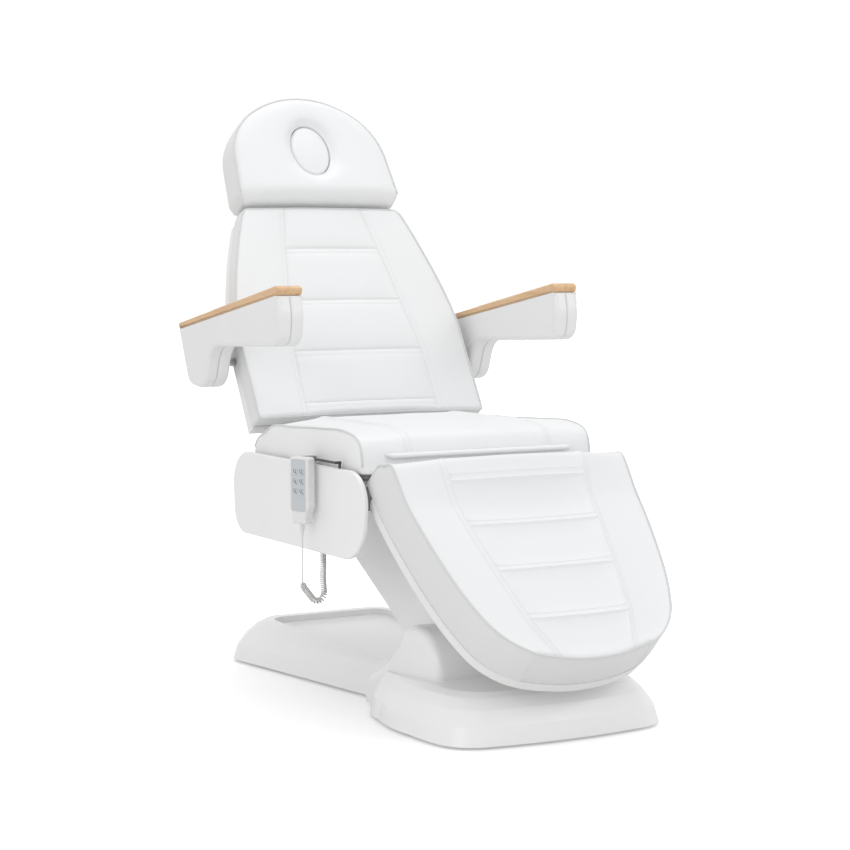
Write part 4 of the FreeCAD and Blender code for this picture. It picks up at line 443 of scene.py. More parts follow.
def columns_between(seam, edge):
    """Right-hand columns of a face: close together at the seam and at the edge."""
    last = INNER_COLUMNS - 1
    inner = [seam * index / last - 10 * MM * index / last for index in range(INNER_COLUMNS)]
    beside = [seam + step * MM for step in COLUMN_STEPS]
    low, high = seam + 18 * MM, edge - 14 * MM
    outer = [low + (high - low) * index / (OUTER_COLUMNS - 1) for index in range(OUTER_COLUMNS)]
    return inner + beside + outer + [edge - step * MM for step in EDGE_STEPS]


def row_distances(total, channels):
    """Places of the rows along a face: even, and close together at each channel."""
    close = sorted(channel + step * MM for channel in channels for step in CHANNEL_STEPS)
    count = int(total / ROW_PITCH)
    even = [total * index / count for index in range(count + 1)]
    ends = [total - step * MM for step in END_STEPS] + [step * MM for step in END_STEPS]
    rows = close + [place for place in even if all(abs(place - other) > 6 * MM for other in close)]
    rows += [place for place in ends if all(abs(place - other) > 1.2 * MM for other in rows)]
    return sorted(rows)


def sewn(x, s, seam, edge, total, channels, puff, seed):
    """Height of a sewn and filled face above its plain crown."""
    across = abs(x)
    height = 0
    if across < seam:
        stops = [0] + list(channels) + [total]
        low = max(stop for stop in stops if stop <= s + 1e-9)
        high = min(stop for stop in stops if stop > s - 1e-9 and stop > low) if s < total - 1e-9 else total
        share = (s - low) / max(high - low, 1e-6)
        height += puff * (1 - (across / seam) ** 5) * (1 - abs(2 * share - 1) ** 3.2)
        for channel in channels:
            height -= (CHANNEL_DEPTH * near(s - channel, SEAM_WIDTH) +
                       TOPSTITCH_DEPTH * near(s - channel + TOPSTITCH_OFF_CHANNEL, TOPSTITCH_WIDTH))
            height += 0.5 * MM * pucker(across * (1 if x > 0 else -1), abs(s - channel), seed + channel * 90)
    else:
        share = (across - seam) / (edge - seam)
        height += puff * 0.8 * (1 - abs(2 * min(share, 1) - 1) ** 3) * (1 - abs(2 * s / total - 1) ** 12)
    height -= (SEAM_DEPTH * near(across - seam, SEAM_WIDTH) +
               TOPSTITCH_DEPTH * near(across - seam - TOPSTITCH_OFF_SEAM, TOPSTITCH_WIDTH))
    height += 0.45 * MM * pucker(s, abs(across - seam), seed + (7 if x > 0 else 3))
    height += 0.5 * MM * pucker(s + across, max(edge - across, 0), seed + 20)
    height += 0.9 * MM * noise.noise((x * 9, s * 9, seed))
    return height


def outward(loop):
    """Outward directions in plan of a closed loop that runs anticlockwise."""
    found = []
    count = len(loop)
    for index, point in enumerate(loop):
        before, after = 1, 1
        while before < count and (loop[(index - before) % count].xy - point.xy).length < 0.5 * MM:
            before += 1
        while after < count and (loop[(index + after) % count].xy - point.xy).length < 0.5 * MM:
            after += 1
        run = loop[(index + after) % count].xy - loop[(index - before) % count].xy
        found.append(Vector((run.y, -run.x, 0)).normalized())
    return found


# Side walls of a cushion: share of the way down, and how far they swell there in millimetres
WALL_BULGE = ((0.05, 1.4), (0.13, 3.0), (0.28, 4.4), (0.5, 5.0), (0.7, 4.7), (0.86, 3.6), (0.95, 2.2), (1.0, 0.4))


def pad(name, grid, foot, body, place, round_grid=False, wall=SHADED_WALL_HIDE):
    """Closed cushion: a sewn face as rows of points, side walls that swell between their seams, and a flat foot.

    The rows of a round grid close on themselves, the first one round an opening that goes down to the foot."""
    vertices, rows, faces = stacked(grid, round_grid)
    top_faces = len(faces)
    above = list(rows[-1])
    if not round_grid:
        above = list(rows[0]) + [row[-1] for row in rows[1:]] + above[-2::-1] + [row[0] for row in rows[-2:0:-1]]
    edge = [vertices[index] for index in above]
    sides = outward(edge)
    tallest = max(point.z for point in edge) - foot
    for share, swell in WALL_BULGE:
        ring = range(len(vertices), len(vertices) + len(edge))
        for point, side in zip(edge, sides):
            drop = point.z - foot
            gather = 0.5 * noise.noise((point.x * 40, point.y * 40, share * 1.5)) * math.sin(math.pi * share)
            out = side * (swell + gather) * MM * min(drop / tallest, 1)
            vertices.append(point + out - Vector((0, 0, drop * share)))
        faces += band(above[::-1], ring[::-1])
        above = ring
    if round_grid:
        inner = rows[0]
        for share in (0.3, 1.0):
            ring = range(len(vertices), len(vertices) + len(inner))
            vertices += [Vector((p.x, p.y, p.z * (1 - share) + foot * share)) for p in grid[0]]
            faces += band(inner, ring)
            inner = ring
        faces += band(inner, above)
    else:
        faces.append(tuple(above))
    # The walls take the wall finish: by default the darker leatherette as painted shade, on the seat the lighter one as
    # painted light.
    piece = add_mesh(name, vertices, faces, place, [WHITE_HIDE, wall])
    for index, polygon in enumerate(piece.data.polygons):
        polygon.material_index = 0 if index < top_faces else 1
    tidy(piece)
    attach(piece, body)
    return piece


# Faces with more sides than this are flat feet and caps
FOOT_SIDES = 12


def tidy(piece):
    """Merges points that meet, drops empty faces, turns every face outwards and keeps the foot's edge crisp."""
    work = bmesh.new()
    work.from_mesh(piece.data)
    bmesh.ops.remove_doubles(work, verts=work.verts, dist=0.05 * MM)
    bmesh.ops.dissolve_degenerate(work, edges=work.edges, dist=0.02 * MM)
    bmesh.ops.recalc_face_normals(work, faces=work.faces)
    for face in work.faces:
        if len(face.verts) > FOOT_SIDES:
            for edge in face.edges:
                edge.smooth = False
    work.to_mesh(piece.data)
    work.free()


# Tubes default to the piping's grey leatherette, painted shade.
def tube(name, points, radius, place=UNMOVED, material=SHADED_PIPING_HIDE, closed=False, sides=10):
    """Round tube along points, its ends domed unless it closes on itself."""
    points = [place @ Vector(point) for point in points]
    last = len(points) - 1
    circles = []
    side = None
    for index, point in enumerate(points):
        ahead = points[(index + 1) % len(points) if closed else min(index + 1, last)]
        run = (ahead - points[index - 1 if closed else max(index - 1, 0)]).normalized()
        side = run.orthogonal().normalized() if side is None else (side - run * side.dot(run)).normalized()
        other = run.cross(side)
        angles = [2 * math.pi * step / sides for step in range(sides)]
        circles.append([point + (side * math.cos(angle) + other * math.sin(angle)) * radius for angle in angles])
    vertices, rings, faces = stacked(circles)
    if closed:
        first = vertices[0] - points[0]
        shift = min(range(sides), key=lambda step: (circles[-1][step] - points[-1] - first).length)
        faces += band([*rings[-1][shift:], *rings[-1][:shift]], rings[0])
    for tip, inner in () if closed else ((0, 1), (-1, -2)):
        away = (points[tip] - points[inner]).normalized() * radius * 0.55
        cap = range(len(vertices), len(vertices) + sides)
        vertices += [points[tip] + (spot - points[tip]) * 0.62 + away * 0.8 for spot in circles[tip]]
        end = band(rings[tip], cap) + [tuple(cap)]
        faces += end if tip else [face[::-1] for face in end]
    return add_mesh(name, vertices, faces, UNMOVED, [material])


STITCH_PITCH, STITCH_LENGTH, STITCH_RADIUS = 6.4 * MM, 4.6 * MM, 0.42 * MM
# Each ring of a stitch: place as a share of its length, lift and size as shares of its radius
STITCH_RINGS = ((-0.5, -0.3, 0.45), (-0.3, 0.5, 1), (0.3, 0.5, 1), (0.5, -0.3, 0.45))
STITCH_SECTION = ((1, 0), (0.5, 0.87), (-0.5, 0.87), (-1, 0), (0, -0.8))


def stitches(name, lines, body, place):
    """Rows of separate thread stitches laid into a face; each line is (points, their outward directions)."""
    vertices, faces = [], []
    for points, normals in lines:
        total = distances(points)[-1]
        count = int(total / STITCH_PITCH)
        for index in range(count):
            middle = (index + 0.5) * total / count
            places = at_distances(points, [middle + STITCH_LENGTH * share for share, _, _ in STITCH_RINGS])
            up = normals[min(int(middle / total * (len(normals) - 1)), len(normals) - 1)]
            side = (places[-1] - places[0]).normalized().cross(up).normalized()
            rings = []
            for spot, (_, lift, size) in zip(places, STITCH_RINGS):
                centre = spot + up * STITCH_RADIUS * lift
                rings.append(range(len(vertices), len(vertices) + len(STITCH_SECTION)))
                vertices += [centre + (side * x + up * y) * STITCH_RADIUS * size for x, y in STITCH_SECTION]
            faces += [quad for one, other in zip(rings, rings[1:]) for quad in band(one, other)]
            faces += [tuple(rings[0])[::-1], tuple(rings[-1])]
    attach(add_mesh(name, vertices, faces, place, [THREAD]), body)


def face_normal(grid, row, column):
    """Outward direction of a face at one of its points."""
    rows, columns = len(grid), len(grid[0])
    up = grid[min(row + 1, rows - 1)][column] - grid[max(row - 1, 0)][column]
    across = grid[row][min(column + 1, columns - 1)] - grid[row][max(column - 1, 0)]
    return across.cross(up).normalized()


CALM_RUN = 40 * MM


def sewn_face(profile, side_line, seam_line, channels, puff, crown, half, end_line=None, seed=0.0, calm=0):
    """Rows of points over a profile (along, height), as wide as the side line, with two seams and channels.

    Up to calm, a distance along the profile, the sewing shows less."""
    reached = distances(profile)
    total = reached[-1]
    stops = sorted(reached[min(range(len(profile)), key=lambda i: abs(profile[i].x - channel))] for channel in channels)
    rows = row_distances(total, stops)
    spots = at_distances(profile, rows)
    grid = []
    for index, (s, spot) in enumerate(zip(rows, spots)):
        run = (spots[min(index + 1, len(spots) - 1)] - spots[max(index - 1, 0)]).normalized()
        rise = Vector((0, -run.y, run.x))
        edge, seam = side_line(spot.x), seam_line(spot.x)
        right = columns_between(seam, edge)
        still = 0.3 + 0.7 * clamp((s - calm) / CALM_RUN) if calm else 1
        row = []
        for x in [-value for value in reversed(right[1:])] + right:
            lift = sewn(x, s, seam, edge, total, stops, puff, seed) * still - crown * (x / half) ** 2
            row.append(Vector((x, end_line(x, spot.x) if end_line else spot.x, spot.y)) + rise * lift)
        grid.append(row)
    return grid, rows, stops


def seam_lines(grid, rows, stops):
    """Where the topstitching runs: beside both long seams and below each channel."""
    middle = len(grid[0]) // 2
    tracks = [[(row, middle + side * TOPSTITCH_COLUMN) for row in range(len(grid))] for side in (-1, 1)]
    for stop in stops:
        index = min(range(len(rows)), key=lambda i: abs(rows[i] - (stop - TOPSTITCH_OFF_CHANNEL)))
        tracks.append([(index, column) for column in range(middle - SEAM_COLUMN + 1, middle + SEAM_COLUMN)])
    return [([grid[r][c] for r, c in track], [face_normal(grid, r, c) for r, c in track]) for track in tracks]


def side_of(corners, inset=6 * MM):
    """Half width of an outline at one level, drawn in by an inset."""
    line = chain(corners)
    return lambda level: crossing(line, level) - inset


def scaled(shares, half, length, sign=1):
    return [(x * half, sign * y * length, bend * half) for x, y, bend in shares]


# Outlines and seams as shares of half the width and of the length, with the radius of the arc that follows
BACK_HALF, BACK_LENGTH, BACK_DEPTH, BACK_CROWN = 310 * MM, 575 * MM, 45 * MM, 10 * MM
BACK_SHARES = ((1.0, 0.0, 0), (0.994, 0.417, 0.97), (0.965, 0.532, 5.0), (0.735, 0.958, 0.116), (0.632, 1.0, 0))
BACK_CHANNELS = (0.058, 0.303, 0.545, 0.788)
BACK_SEAMS = ((0.577, -0.02), (0.577, 0.058), (0.565, 0.303), (0.49, 0.545), (0.413, 0.788), (0.329, 1.02))
LEG_HALF, LEG_LENGTH, LEG_DEPTH, LEG_CROWN = 300 * MM, 556 * MM, 88 * MM, 9 * MM
LEG_SHARES = ((0.453, 0.966, 0.54), (0.777, 0.806, 2.03), (0.903, 0.567, 5.25), (0.993, 0.036, 0), (0.98, 0.0, 0))
LEG_CHANNELS = (0.163, 0.354, 0.58, 0.805)
LEG_SEAMS = ((0.25, 1.02), (0.407, 0.8), (0.48, 0.571), (0.54, 0.344), (0.573, 0.119), (0.587, -0.02))
HEAD_HALF, HEAD_LENGTH, HEAD_SKIRT, HEAD_DEPTH, HEAD_CROWN = 222 * MM, 270 * MM, 28 * MM, 83 * MM, 12 * MM
HEAD_SHARES = ((1.0, 0.0, 0), (0.968, 0.378, 0.736), (0.723, 0.789, 1.136), (-0.723, 0.789, 0.736),
               (-0.968, 0.378, 0), (-1.0, 0.0, 0))
FACE_UP, FACE_WIDE, FACE_TALL, FACE_SUNK = 119 * MM, 51 * MM, 70 * MM, 10 * MM
HEAD_ROLL, HEAD_FALL = 36 * MM, 47 * MM
PUFF = 6.5 * MM
LEG_FOOT = 6 * MM - LEG_LENGTH * 0.966
LEG_LIFT_START, LEG_LIFT_RUN, LEG_LIFT_SIDES, LEG_LIFT_MIDDLE = -150 * MM, 120 * MM, 13 * MM, 31 * MM


def roll_ends(grid, ends):
    """Lets a face fall at its last row but one and more at its last, at each of these ends."""
    for last, beside in ends:
        for row, drop in ((last, 5 * MM), (beside, 2.2 * MM)):
            for point in grid[row]:
                point.z -= drop


def make_back_cushion():
    profile = evenly([Vector((5 * MM, BACK_CROWN)), Vector((BACK_LENGTH - 5 * MM, BACK_CROWN))], PROFILE_PITCH)
    side = side_of(scaled(BACK_SHARES, BACK_HALF, BACK_LENGTH))
    seams = chain([(x * BACK_HALF, y * BACK_LENGTH, 0) for x, y in BACK_SEAMS])
    channels = [share * BACK_LENGTH for share in BACK_CHANNELS]
    grid, rows, stops = sewn_face(profile, side, lambda level: crossing(seams, level), channels, PUFF, BACK_CROWN,
                                  BACK_HALF, seed=1.0)
    roll_ends(grid, ((0, 1), (-1, -2)))
    piece = pad("back_upholstery", grid, -BACK_DEPTH, "backrest", LEAN)
    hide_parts("back_cushion")
    cord_round("back_piping", edge_of(grid), "backrest", LEAN, closed=True)
    stitches("back_stitches", seam_lines(grid, rows, stops), "backrest", LEAN)


def edge_of(grid, skip_first=False):
    """Edge of a face, from its first row's right end round to its left end."""
    right, left = [row[-1] for row in grid], [row[0] for row in reversed(grid)]
    return [point.copy() for point in right + grid[-1][-2:0:-1] + left + ([] if skip_first else grid[0][1:-1])]


def cord_round(name, edge, body, place, closed=False):
    """Piping sewn into an upper edge."""
    centre = sum(edge, Vector()) / len(edge)
    points = []
    for point in edge:
        away = Vector((point.x - centre.x, point.y - centre.y, 0)).normalized()
        points.append(point + away * PIPING_OUT + Vector((0, 0, PIPING_UP)))
    points = soften(evenly(points + points[:1] if closed else points, PIPING_PITCH), 3)
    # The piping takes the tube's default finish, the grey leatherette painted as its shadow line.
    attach(tube(name, points[:-1] if closed else points, PIPING_RADIUS, place, closed=closed), body)


def make_leg_cushion():
    head, ahead = 25 * MM, -7 * MM
    bend = head * 1.1
    profile = [Vector((-5 * MM, -LEG_DEPTH))] + arc_points((ahead, -head), (ahead - bend, LEG_CROWN), -bend)
    profile += [Vector((ahead - bend, LEG_CROWN)), Vector((LEG_FOOT, LEG_CROWN))]
    profile = soften(evenly(profile, PROFILE_PITCH), 4)
    side = side_of(scaled(LEG_SHARES, LEG_HALF, LEG_LENGTH, -1))
    seams = chain([(x * LEG_HALF, -y * LEG_LENGTH, 0) for x, y in LEG_SEAMS])
    channels = [-share * LEG_LENGTH for share in LEG_CHANNELS]
    foot_radius, shoulder, straight = 1.46 * LEG_HALF, 0.453 * LEG_HALF, 0.6 * LEG_LENGTH

    def foot_line(x, along):
        share = max((along + straight) / (LEG_FOOT + straight), 0)
        reach = math.sqrt(foot_radius ** 2 - min(abs(x), shoulder) ** 2) - math.sqrt(foot_radius ** 2 - shoulder ** 2)
        return along - reach * share ** 4

    grid, rows, stops = sewn_face(profile, side, lambda level: crossing(seams, level), channels, PUFF, LEG_CROWN,
                                  LEG_HALF, foot_line, 5.0, 105 * MM)
    for row in grid:
        for point in row:
            share = clamp((point.y - LEG_LIFT_START) / LEG_LIFT_RUN) * min((point.z + LEG_DEPTH) / LEG_DEPTH, 1)
            lift = LEG_LIFT_SIDES + LEG_LIFT_MIDDLE * (1 - (point.x / LEG_HALF) ** 2)
            point.z += lift * share * share * (3 - 2 * share)
    roll_ends(grid, ((-1, -2),))
    grid = [row[::-1] for row in grid]
    piece = pad("leg_upholstery", grid, -LEG_DEPTH, "legrest", DROP)
    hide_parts("leg_cushion")
    cord_round("leg_piping", edge_of(grid, True), "legrest", DROP)
    stitches("leg_stitches", seam_lines(grid, rows, stops), "legrest", DROP)


SEAT_HALF, SEAT_BASE, SEAT_TOP, SEAT_CROWN = 300 * MM, 553 * MM, 638 * MM, 20 * MM
SEAT_FOOT, SEAT_FRONT, SEAT_CORNER = SEAT_BASE - 11.5 * MM, -222 * MM, 24 * MM
# Side view of the seat from its rear to its front: along in millimetres, share of its height, radius that follows
SEAT_PROFILE = ((330.0, 0.0, 0), (318.0, 0.36, 0), (299.0, 0.49, 0), (263.0, 0.67, 0), (248.0, 0.81, 0),
                (234.0, 0.95, 0), (208.0, 1.0, 0), (-44.4, 1.0, 600), (-187.0, 0.87, 40), (-215.0, 0.43, 0),
                (-218.7, 0.0, 0))


def make_seat_cushion():
    height = SEAT_TOP - SEAT_BASE
    profile = chain([(y * MM, SEAT_BASE + z * height, bend * MM) for y, z, bend in SEAT_PROFILE])
    profile = soften(evenly(profile, PROFILE_PITCH), 8)

    def front_line(x, along):
        outer = max(abs(x) / SEAT_HALF - 0.6, 0) / 0.4
        along += 7 * MM * (clamp((along - 190 * MM) / (80 * MM)) * clamp((334 * MM - along) / (40 * MM))) * outer
        over = abs(x) - (SEAT_HALF - SEAT_CORNER)
        if over <= 0:
            return along
        reach = SEAT_CORNER - math.sqrt(max(SEAT_CORNER ** 2 - min(over, SEAT_CORNER) ** 2, 0))
        return along + reach * clamp((0.05 - along) / (0.05 - SEAT_FRONT))

    grid, rows, stops = sewn_face(profile, lambda level: SEAT_HALF - 6 * MM, lambda level: 0.583 * SEAT_HALF, (),
                                  4 * MM, 0, SEAT_HALF, front_line, seed=9.0)
    for row in grid:
        for point in row:
            rear = clamp((point.y + 120 * MM) / (270 * MM))
            point.y -= DATUM
            point.z -= (SEAT_CROWN * (0.35 + 0.65 * rear) * abs(point.x / SEAT_HALF) ** 3.2 *
                        clamp((point.z - SEAT_BASE) / height))
    grid = [row[::-1] for row in grid]
    # The seat's walls take the lighter copy of the leatherette, painted light.
    piece = pad("seat_upholstery", grid, SEAT_FOOT, "seat", UNMOVED, wall=LIT_SEAT_WALL_HIDE)
    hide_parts("seat_cushion")
    for side, column in (("left", -1), ("right", 0)):
        points = [row[column].copy() for row in grid if row[column].z > SEAT_BASE + 4 * MM]
        cord_round(f"seat_piping_{side}", points, "seat", UNMOVED)
    stitches("seat_stitches", seam_lines(grid, rows, stops), "seat", UNMOVED)


def ray_to(line, angle):
    """Where a ray from the face opening's centre meets a closed line."""
    origin = Vector((0, FACE_UP))
    ray = Vector((math.cos(angle), math.sin(angle)))
    best = None
    for a, b in zip(line, line[1:] + line[:1]):
        side = b - a
        cross = ray.x * side.y - ray.y * side.x
        if abs(cross) < 1e-12:
            continue
        to = a - origin
        far = (to.x * side.y - to.y * side.x) / cross
        share = (to.x * ray.y - to.y * ray.x) / cross
        if far > 0 and -1e-9 <= share <= 1 + 1e-9 and (best is None or far < best):
            best = far
    return origin + ray * best


# How the headrest's side runs on below its corner: inwards and up, in millimetres
HEAD_TUCK = ((1, -6), (5, -14), (11, -22), (18, -27))


def head_distances(reach):
    """Places from the face opening to the outer edge, close together at both."""
    middle = [12 * MM + (reach - 26 * MM) * step / 23 for step in range(24)]
    return [far * MM for far in (0, 1.5, 4, 8)] + middle + [reach - far * MM for far in (10, 5.5, 2, 0)]


def make_headrest_cushion():
    inset, low = 4 * MM, 1 * MM - HEAD_SKIRT
    line = chain(scaled(HEAD_SHARES, HEAD_HALF, HEAD_LENGTH))
    middle = Vector((0, FACE_UP))
    line = [middle + (p - middle) * (1 - inset / (p - middle).length) for p in line]
    tucked = [Vector((line[0].x - inward * MM, down * MM)) for inward, down in HEAD_TUCK]
    line = tucked[::-1] + line + [Vector((-p.x, p.y)) for p in tucked]
    corner = math.atan2(-2 * MM - FACE_UP, HEAD_HALF)
    first, last = corner % math.tau, (math.pi - corner) % math.tau
    foot = math.atan2(low - FACE_UP, line[0].x)
    angles = sorted([2 * math.pi * step / 120 for step in range(120)] +
                    [first, last, foot % math.tau, (math.pi - foot) % math.tau])
    columns = []
    for angle in angles:
        start, end = oval_point_on_ray(angle, 2.4 * MM), ray_to(line, angle)
        run = end - start
        reach = run.length
        column = []
        for far in head_distances(reach):
            spot = start + run.normalized() * far
            edged = clamp((spot.y + 6 * MM) / (22 * MM))
            puff = 9 * MM * (1 - abs(2 * (far / reach) - 1) ** 3.0) * min(reach / (90 * MM), 1)
            lift = HEAD_CROWN * (1 - (spot.x / HEAD_HALF) ** 2) + puff
            lift += 0.9 * MM * noise.noise((spot.x * 10, spot.y * 10, 4))
            lift += 0.5 * MM * pucker(angle * 0.2, reach - far, 31) + 0.4 * MM * pucker(angle * 0.09, far, 37)
            lift -= 4.5 * MM * near(reach - far, 4 * MM) * edged
            lift -= FACE_SUNK * (0.7 * near(far, 11 * MM) + 0.3 * near(far, 26 * MM))
            rolled = min(max(HEAD_ROLL - (spot.y - low), 0) / HEAD_ROLL, 1)
            lift -= HEAD_FALL * (1 - math.sqrt(1 - rolled ** 2))
            tuck = Vector((abs(spot.x) - HEAD_HALF, spot.y - 4 * MM)).length
            lift += 1.6 * MM * math.sin((abs(spot.x) * 0.6 - spot.y) * 520) * near(tuck, 17 * MM)
            column.append(Vector((spot.x, spot.y, lift)))
        columns.append(column)
    grid = [list(row) for row in zip(*columns)]
    piece = pad("headrest_upholstery", grid, -HEAD_DEPTH, "headrest", HEAD_LEAN, round_grid=True)
    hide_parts("headrest_cushion")
    order = [index for index, angle in enumerate(angles) if angle >= first - 1e-6]
    order += [index for index, angle in enumerate(angles) if angle <= last + 1e-6]
    cord_round("headrest_piping", [grid[-1][index].copy() for index in order], "headrest", HEAD_LEAN)
    make_face_plug()


def oval_point_on_ray(angle, extra):
    """Point of the face opening's oval, grown by extra, on a ray at this angle."""
    wide, tall = FACE_WIDE + extra, FACE_TALL + extra
    far = 1 / math.sqrt((math.cos(angle) / wide) ** 2 + (math.sin(angle) / tall) ** 2)
    return Vector((math.cos(angle) * far, FACE_UP + math.sin(angle) * far))


PLUG_SIDES = 72
PLUG_SHARES = (0.03, 0.15, 0.3, 0.45, 0.6, 0.72, 0.82, 0.9, 0.94, 0.97, 0.99, 1.0)


def make_face_plug():
    """Domed plug that closes the face opening."""
    angles = [2 * math.pi * step / PLUG_SIDES for step in range(PLUG_SIDES)]
    rings = []
    for share in PLUG_SHARES:
        ring = []
        for angle in angles:
            spot = Vector((0, FACE_UP)).lerp(oval_point_on_ray(angle, 0.4 * MM), share)
            lift = HEAD_CROWN - FACE_SUNK + 7 * MM * (1 - share ** 2.4) - 4.5 * MM * near(1 - share, 0.04)
            lift += 0.4 * MM * noise.noise((spot.x * 20, spot.y * 20, 9))
            ring.append(Vector((spot.x, spot.y, lift)))
        rings.append(ring)
    neck = [oval_point_on_ray(angle, -1.6 * MM) for angle in angles]
    for line, level in ((rings[-1], -14 * MM), (neck, -16 * MM), (neck, -48 * MM)):
        rings.append([Vector((p.x, p.y, level)) for p in line])
    vertices, numbers, faces = stacked(rings)
    faces += [tuple(numbers[0]), tuple(numbers[-1])[::-1]]
    piece = add_mesh("face_plug_upholstery", vertices, faces, HEAD_LEAN, [WHITE_HIDE])
    tidy(piece)
    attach(piece, "face_plug")
    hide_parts("face_plug")


FLAP_HALF, FLAP_LEVEL, FLAP_ROWS = 238 * MM, 578 * MM, 40
# Along and up in millimetres; the section shrinks towards the point (-215, 3.5) at both ends
FLAP_SECTION = ((-214.8, -4.0), (-222, -4.6), (-228.4, -4.0), (-232.0, -1.2), (-232.4, 2.4), (-230.4, 5.4), (-226, 6.7),
                (-220, 6.9), (-214.8, 6.8))


def make_front_flap():
    """Narrow upholstered lip under the seat's front edge."""
    rows = []
    for step in range(FLAP_ROWS + 1):
        share = 2 * step / FLAP_ROWS - 1
        tip = math.sqrt(max(1 - max((abs(share) - 0.97) / 0.03, 0) ** 2, 0)) * 0.75 + 0.25
        rows.append([Vector((share * FLAP_HALF, (-215 + (y + 215) * tip) * MM - DATUM,
                             FLAP_LEVEL + (3.5 + (z - 3.5) * tip + 0.25 * noise.noise((share * 9, z, 2))) * MM))
                     for y, z in FLAP_SECTION])
    vertices, numbers, faces = stacked(rows)
    faces += [tuple(numbers[0]), tuple(numbers[-1])[::-1]]
    piece = add_mesh("front_flap_upholstery", vertices, faces, UNMOVED, [WHITE_HIDE])
    tidy(piece)
    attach(piece, "seat")
    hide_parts("seat_front_flap")


# Handset cord: its lead, then the curls that turn up behind the side panel to the socket
LEAD_ROUTE = ((-346.7, -26, 393), (-346.7, -26, 366), (-345, -24, 332), (-343.5, -20, 300), (-343, -18, 287))
CURL_ROUTE = ((-343, -18, 287), (-341, -17, 274), (-328, -16, 260), (-309, -15, 236), (-285, -13, 246),
              (-288, -11, 280), (-288.5, -11, 300), (-287.5, -12, 318), (-287, -10, 350), (-286.5, -11.5, 382),
              (-286, -10.5, 410), (-286, -10.5, 433))
WIRE_RADIUS = 1.7 * MM
COIL_RADIUS = 6.2 * MM
COIL_PITCH = 4.3 * MM
COIL_STEP, COIL_TAPER, COIL_REACH = 0.25 * MM, 9 * MM, 12


def route_points(name, route):
    """Points of the smooth line through a route's control points."""
    curve = bpy.data.curves.new(name, "CURVE")
    curve.dimensions = "3D"
    curve.resolution_u = 24
    spline = curve.splines.new("NURBS")
    spline.points.add(len(route) - 1)
    for point, (x, y, z) in zip(spline.points, route):
        point.co = (x * MM, y * MM - DATUM, z * MM, 1)
    spline.order_u = 3
    spline.use_endpoint_u = True
    piece = bpy.data.objects.new(name, curve)
    bpy.context.collection.objects.link(piece)
    mesh = bpy.data.meshes.new_from_object(piece)
    points = [vertex.co.copy() for vertex in mesh.vertices]
    bpy.data.objects.remove(piece)
    bpy.data.meshes.remove(mesh)
    return points


def make_cord():
    """One cord: a straight lead below the handset, then close curls that narrow at both ends.

    The turns open a little where the line bends, each direction taken over COIL_REACH steps to both sides."""
    lead = evenly(route_points("lead_route", LEAD_ROUTE), 4 * MM)
    middle = soften(evenly(route_points("curl_route", CURL_ROUTE), COIL_STEP), 12)
    reaches = distances(middle)
    side = None
    turns = 0.0
    wound = []
    for index, (point, reached) in enumerate(zip(middle, reaches)):
        before, after = middle[max(index - COIL_REACH, 0)], middle[min(index + COIL_REACH, len(middle) - 1)]
        first, second = point - before, after - point
        bend = 0
        if first.length and second.length:
            bend = first.angle(second, 0) / max((after - before).length / 2, 0.1 * MM)
        run = (after - before).normalized()
        side = run.orthogonal().normalized() if side is None else (side - run * side.dot(run)).normalized()
        other = run.cross(side)
        ease = min(reached / COIL_TAPER, (reaches[-1] - reached) / COIL_TAPER, 1)
        size = COIL_RADIUS * (ease * ease * (3 - 2 * ease))
        turns += COIL_STEP * min(1.15 * (1 - min(COIL_RADIUS * bend, 0.6)), 1) / COIL_PITCH
        angle = math.tau * turns
        wound.append(point + (side * math.cos(angle) + other * math.sin(angle)) * size)
    path = lead + evenly(wound, 1.2 * MM)[1:]
    piece = tube("handset_cord", path, WIRE_RADIUS, UNMOVED, SHEATH, sides=8)
    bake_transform(piece)
    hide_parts("cord_lead", "cord_curls")
    distances(path)[-1]


# One key's print, in shares of its size: strokes of a chair's side view, and half a stroke's width
KEY_STROKES = (((-1.0, 1.0), (-0.45, -0.25)), ((-0.45, -0.25), (0.5, -0.25)), ((0.5, -0.25), (0.95, -1.0)),
               ((0.45, 0.95), (0.45, 0.2)))
KEY_STROKE = 0.17


def make_key_symbols():
    """Plain chair outline with an arrow beside it, up on one key and down on the next, on each of the six keys."""
    for index in range(1, 7):
        low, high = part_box(f"key_{index}")
        centre = (Vector(low) + Vector(high)) / 2
        spots = [Vector(vertex.co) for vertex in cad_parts[f"key_{index}"].data.vertices]
        middle = centre + HANDSET_OUT * (max((spot - centre).dot(HANDSET_OUT) for spot in spots) + 0.12 * MM)
        widths = [(spot - centre).dot(HANDSET_ACROSS) for spot in spots]
        size = 0.42 * min(max(widths) - min(widths), high[2] - low[2])
        tip = 1 if index % 2 == 0 else -1
        shapes = [[(0.1, 0.575 + 0.1 * tip), (0.45, 0.575 + 0.55 * tip), (0.8, 0.575 + 0.1 * tip)]]
        for a, b in KEY_STROKES:
            side = Vector((a[1] - b[1], b[0] - a[0])).normalized() * KEY_STROKE
            shapes.append([Vector(a) + side, Vector(a) - side, Vector(b) - side, Vector(b) + side])
        vertices, faces = [], []
        for shape in shapes:
            front = range(len(vertices), len(vertices) + len(shape))
            back = range(front.stop, front.stop + len(shape))
            spots = [middle + HANDSET_ACROSS * x * size + Vector((0, 0, 1)) * y * size for x, y in shape]
            vertices += spots + [spot - HANDSET_OUT * 0.3 * MM for spot in spots]
            faces += [tuple(front), tuple(back)[::-1]] + band(front, back)
        piece = add_mesh(f"key_{index}_symbol", vertices, faces, UNMOVED, [SYMBOL], smooth=False)
        tidy(piece)
        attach(piece, f"key_{index}")


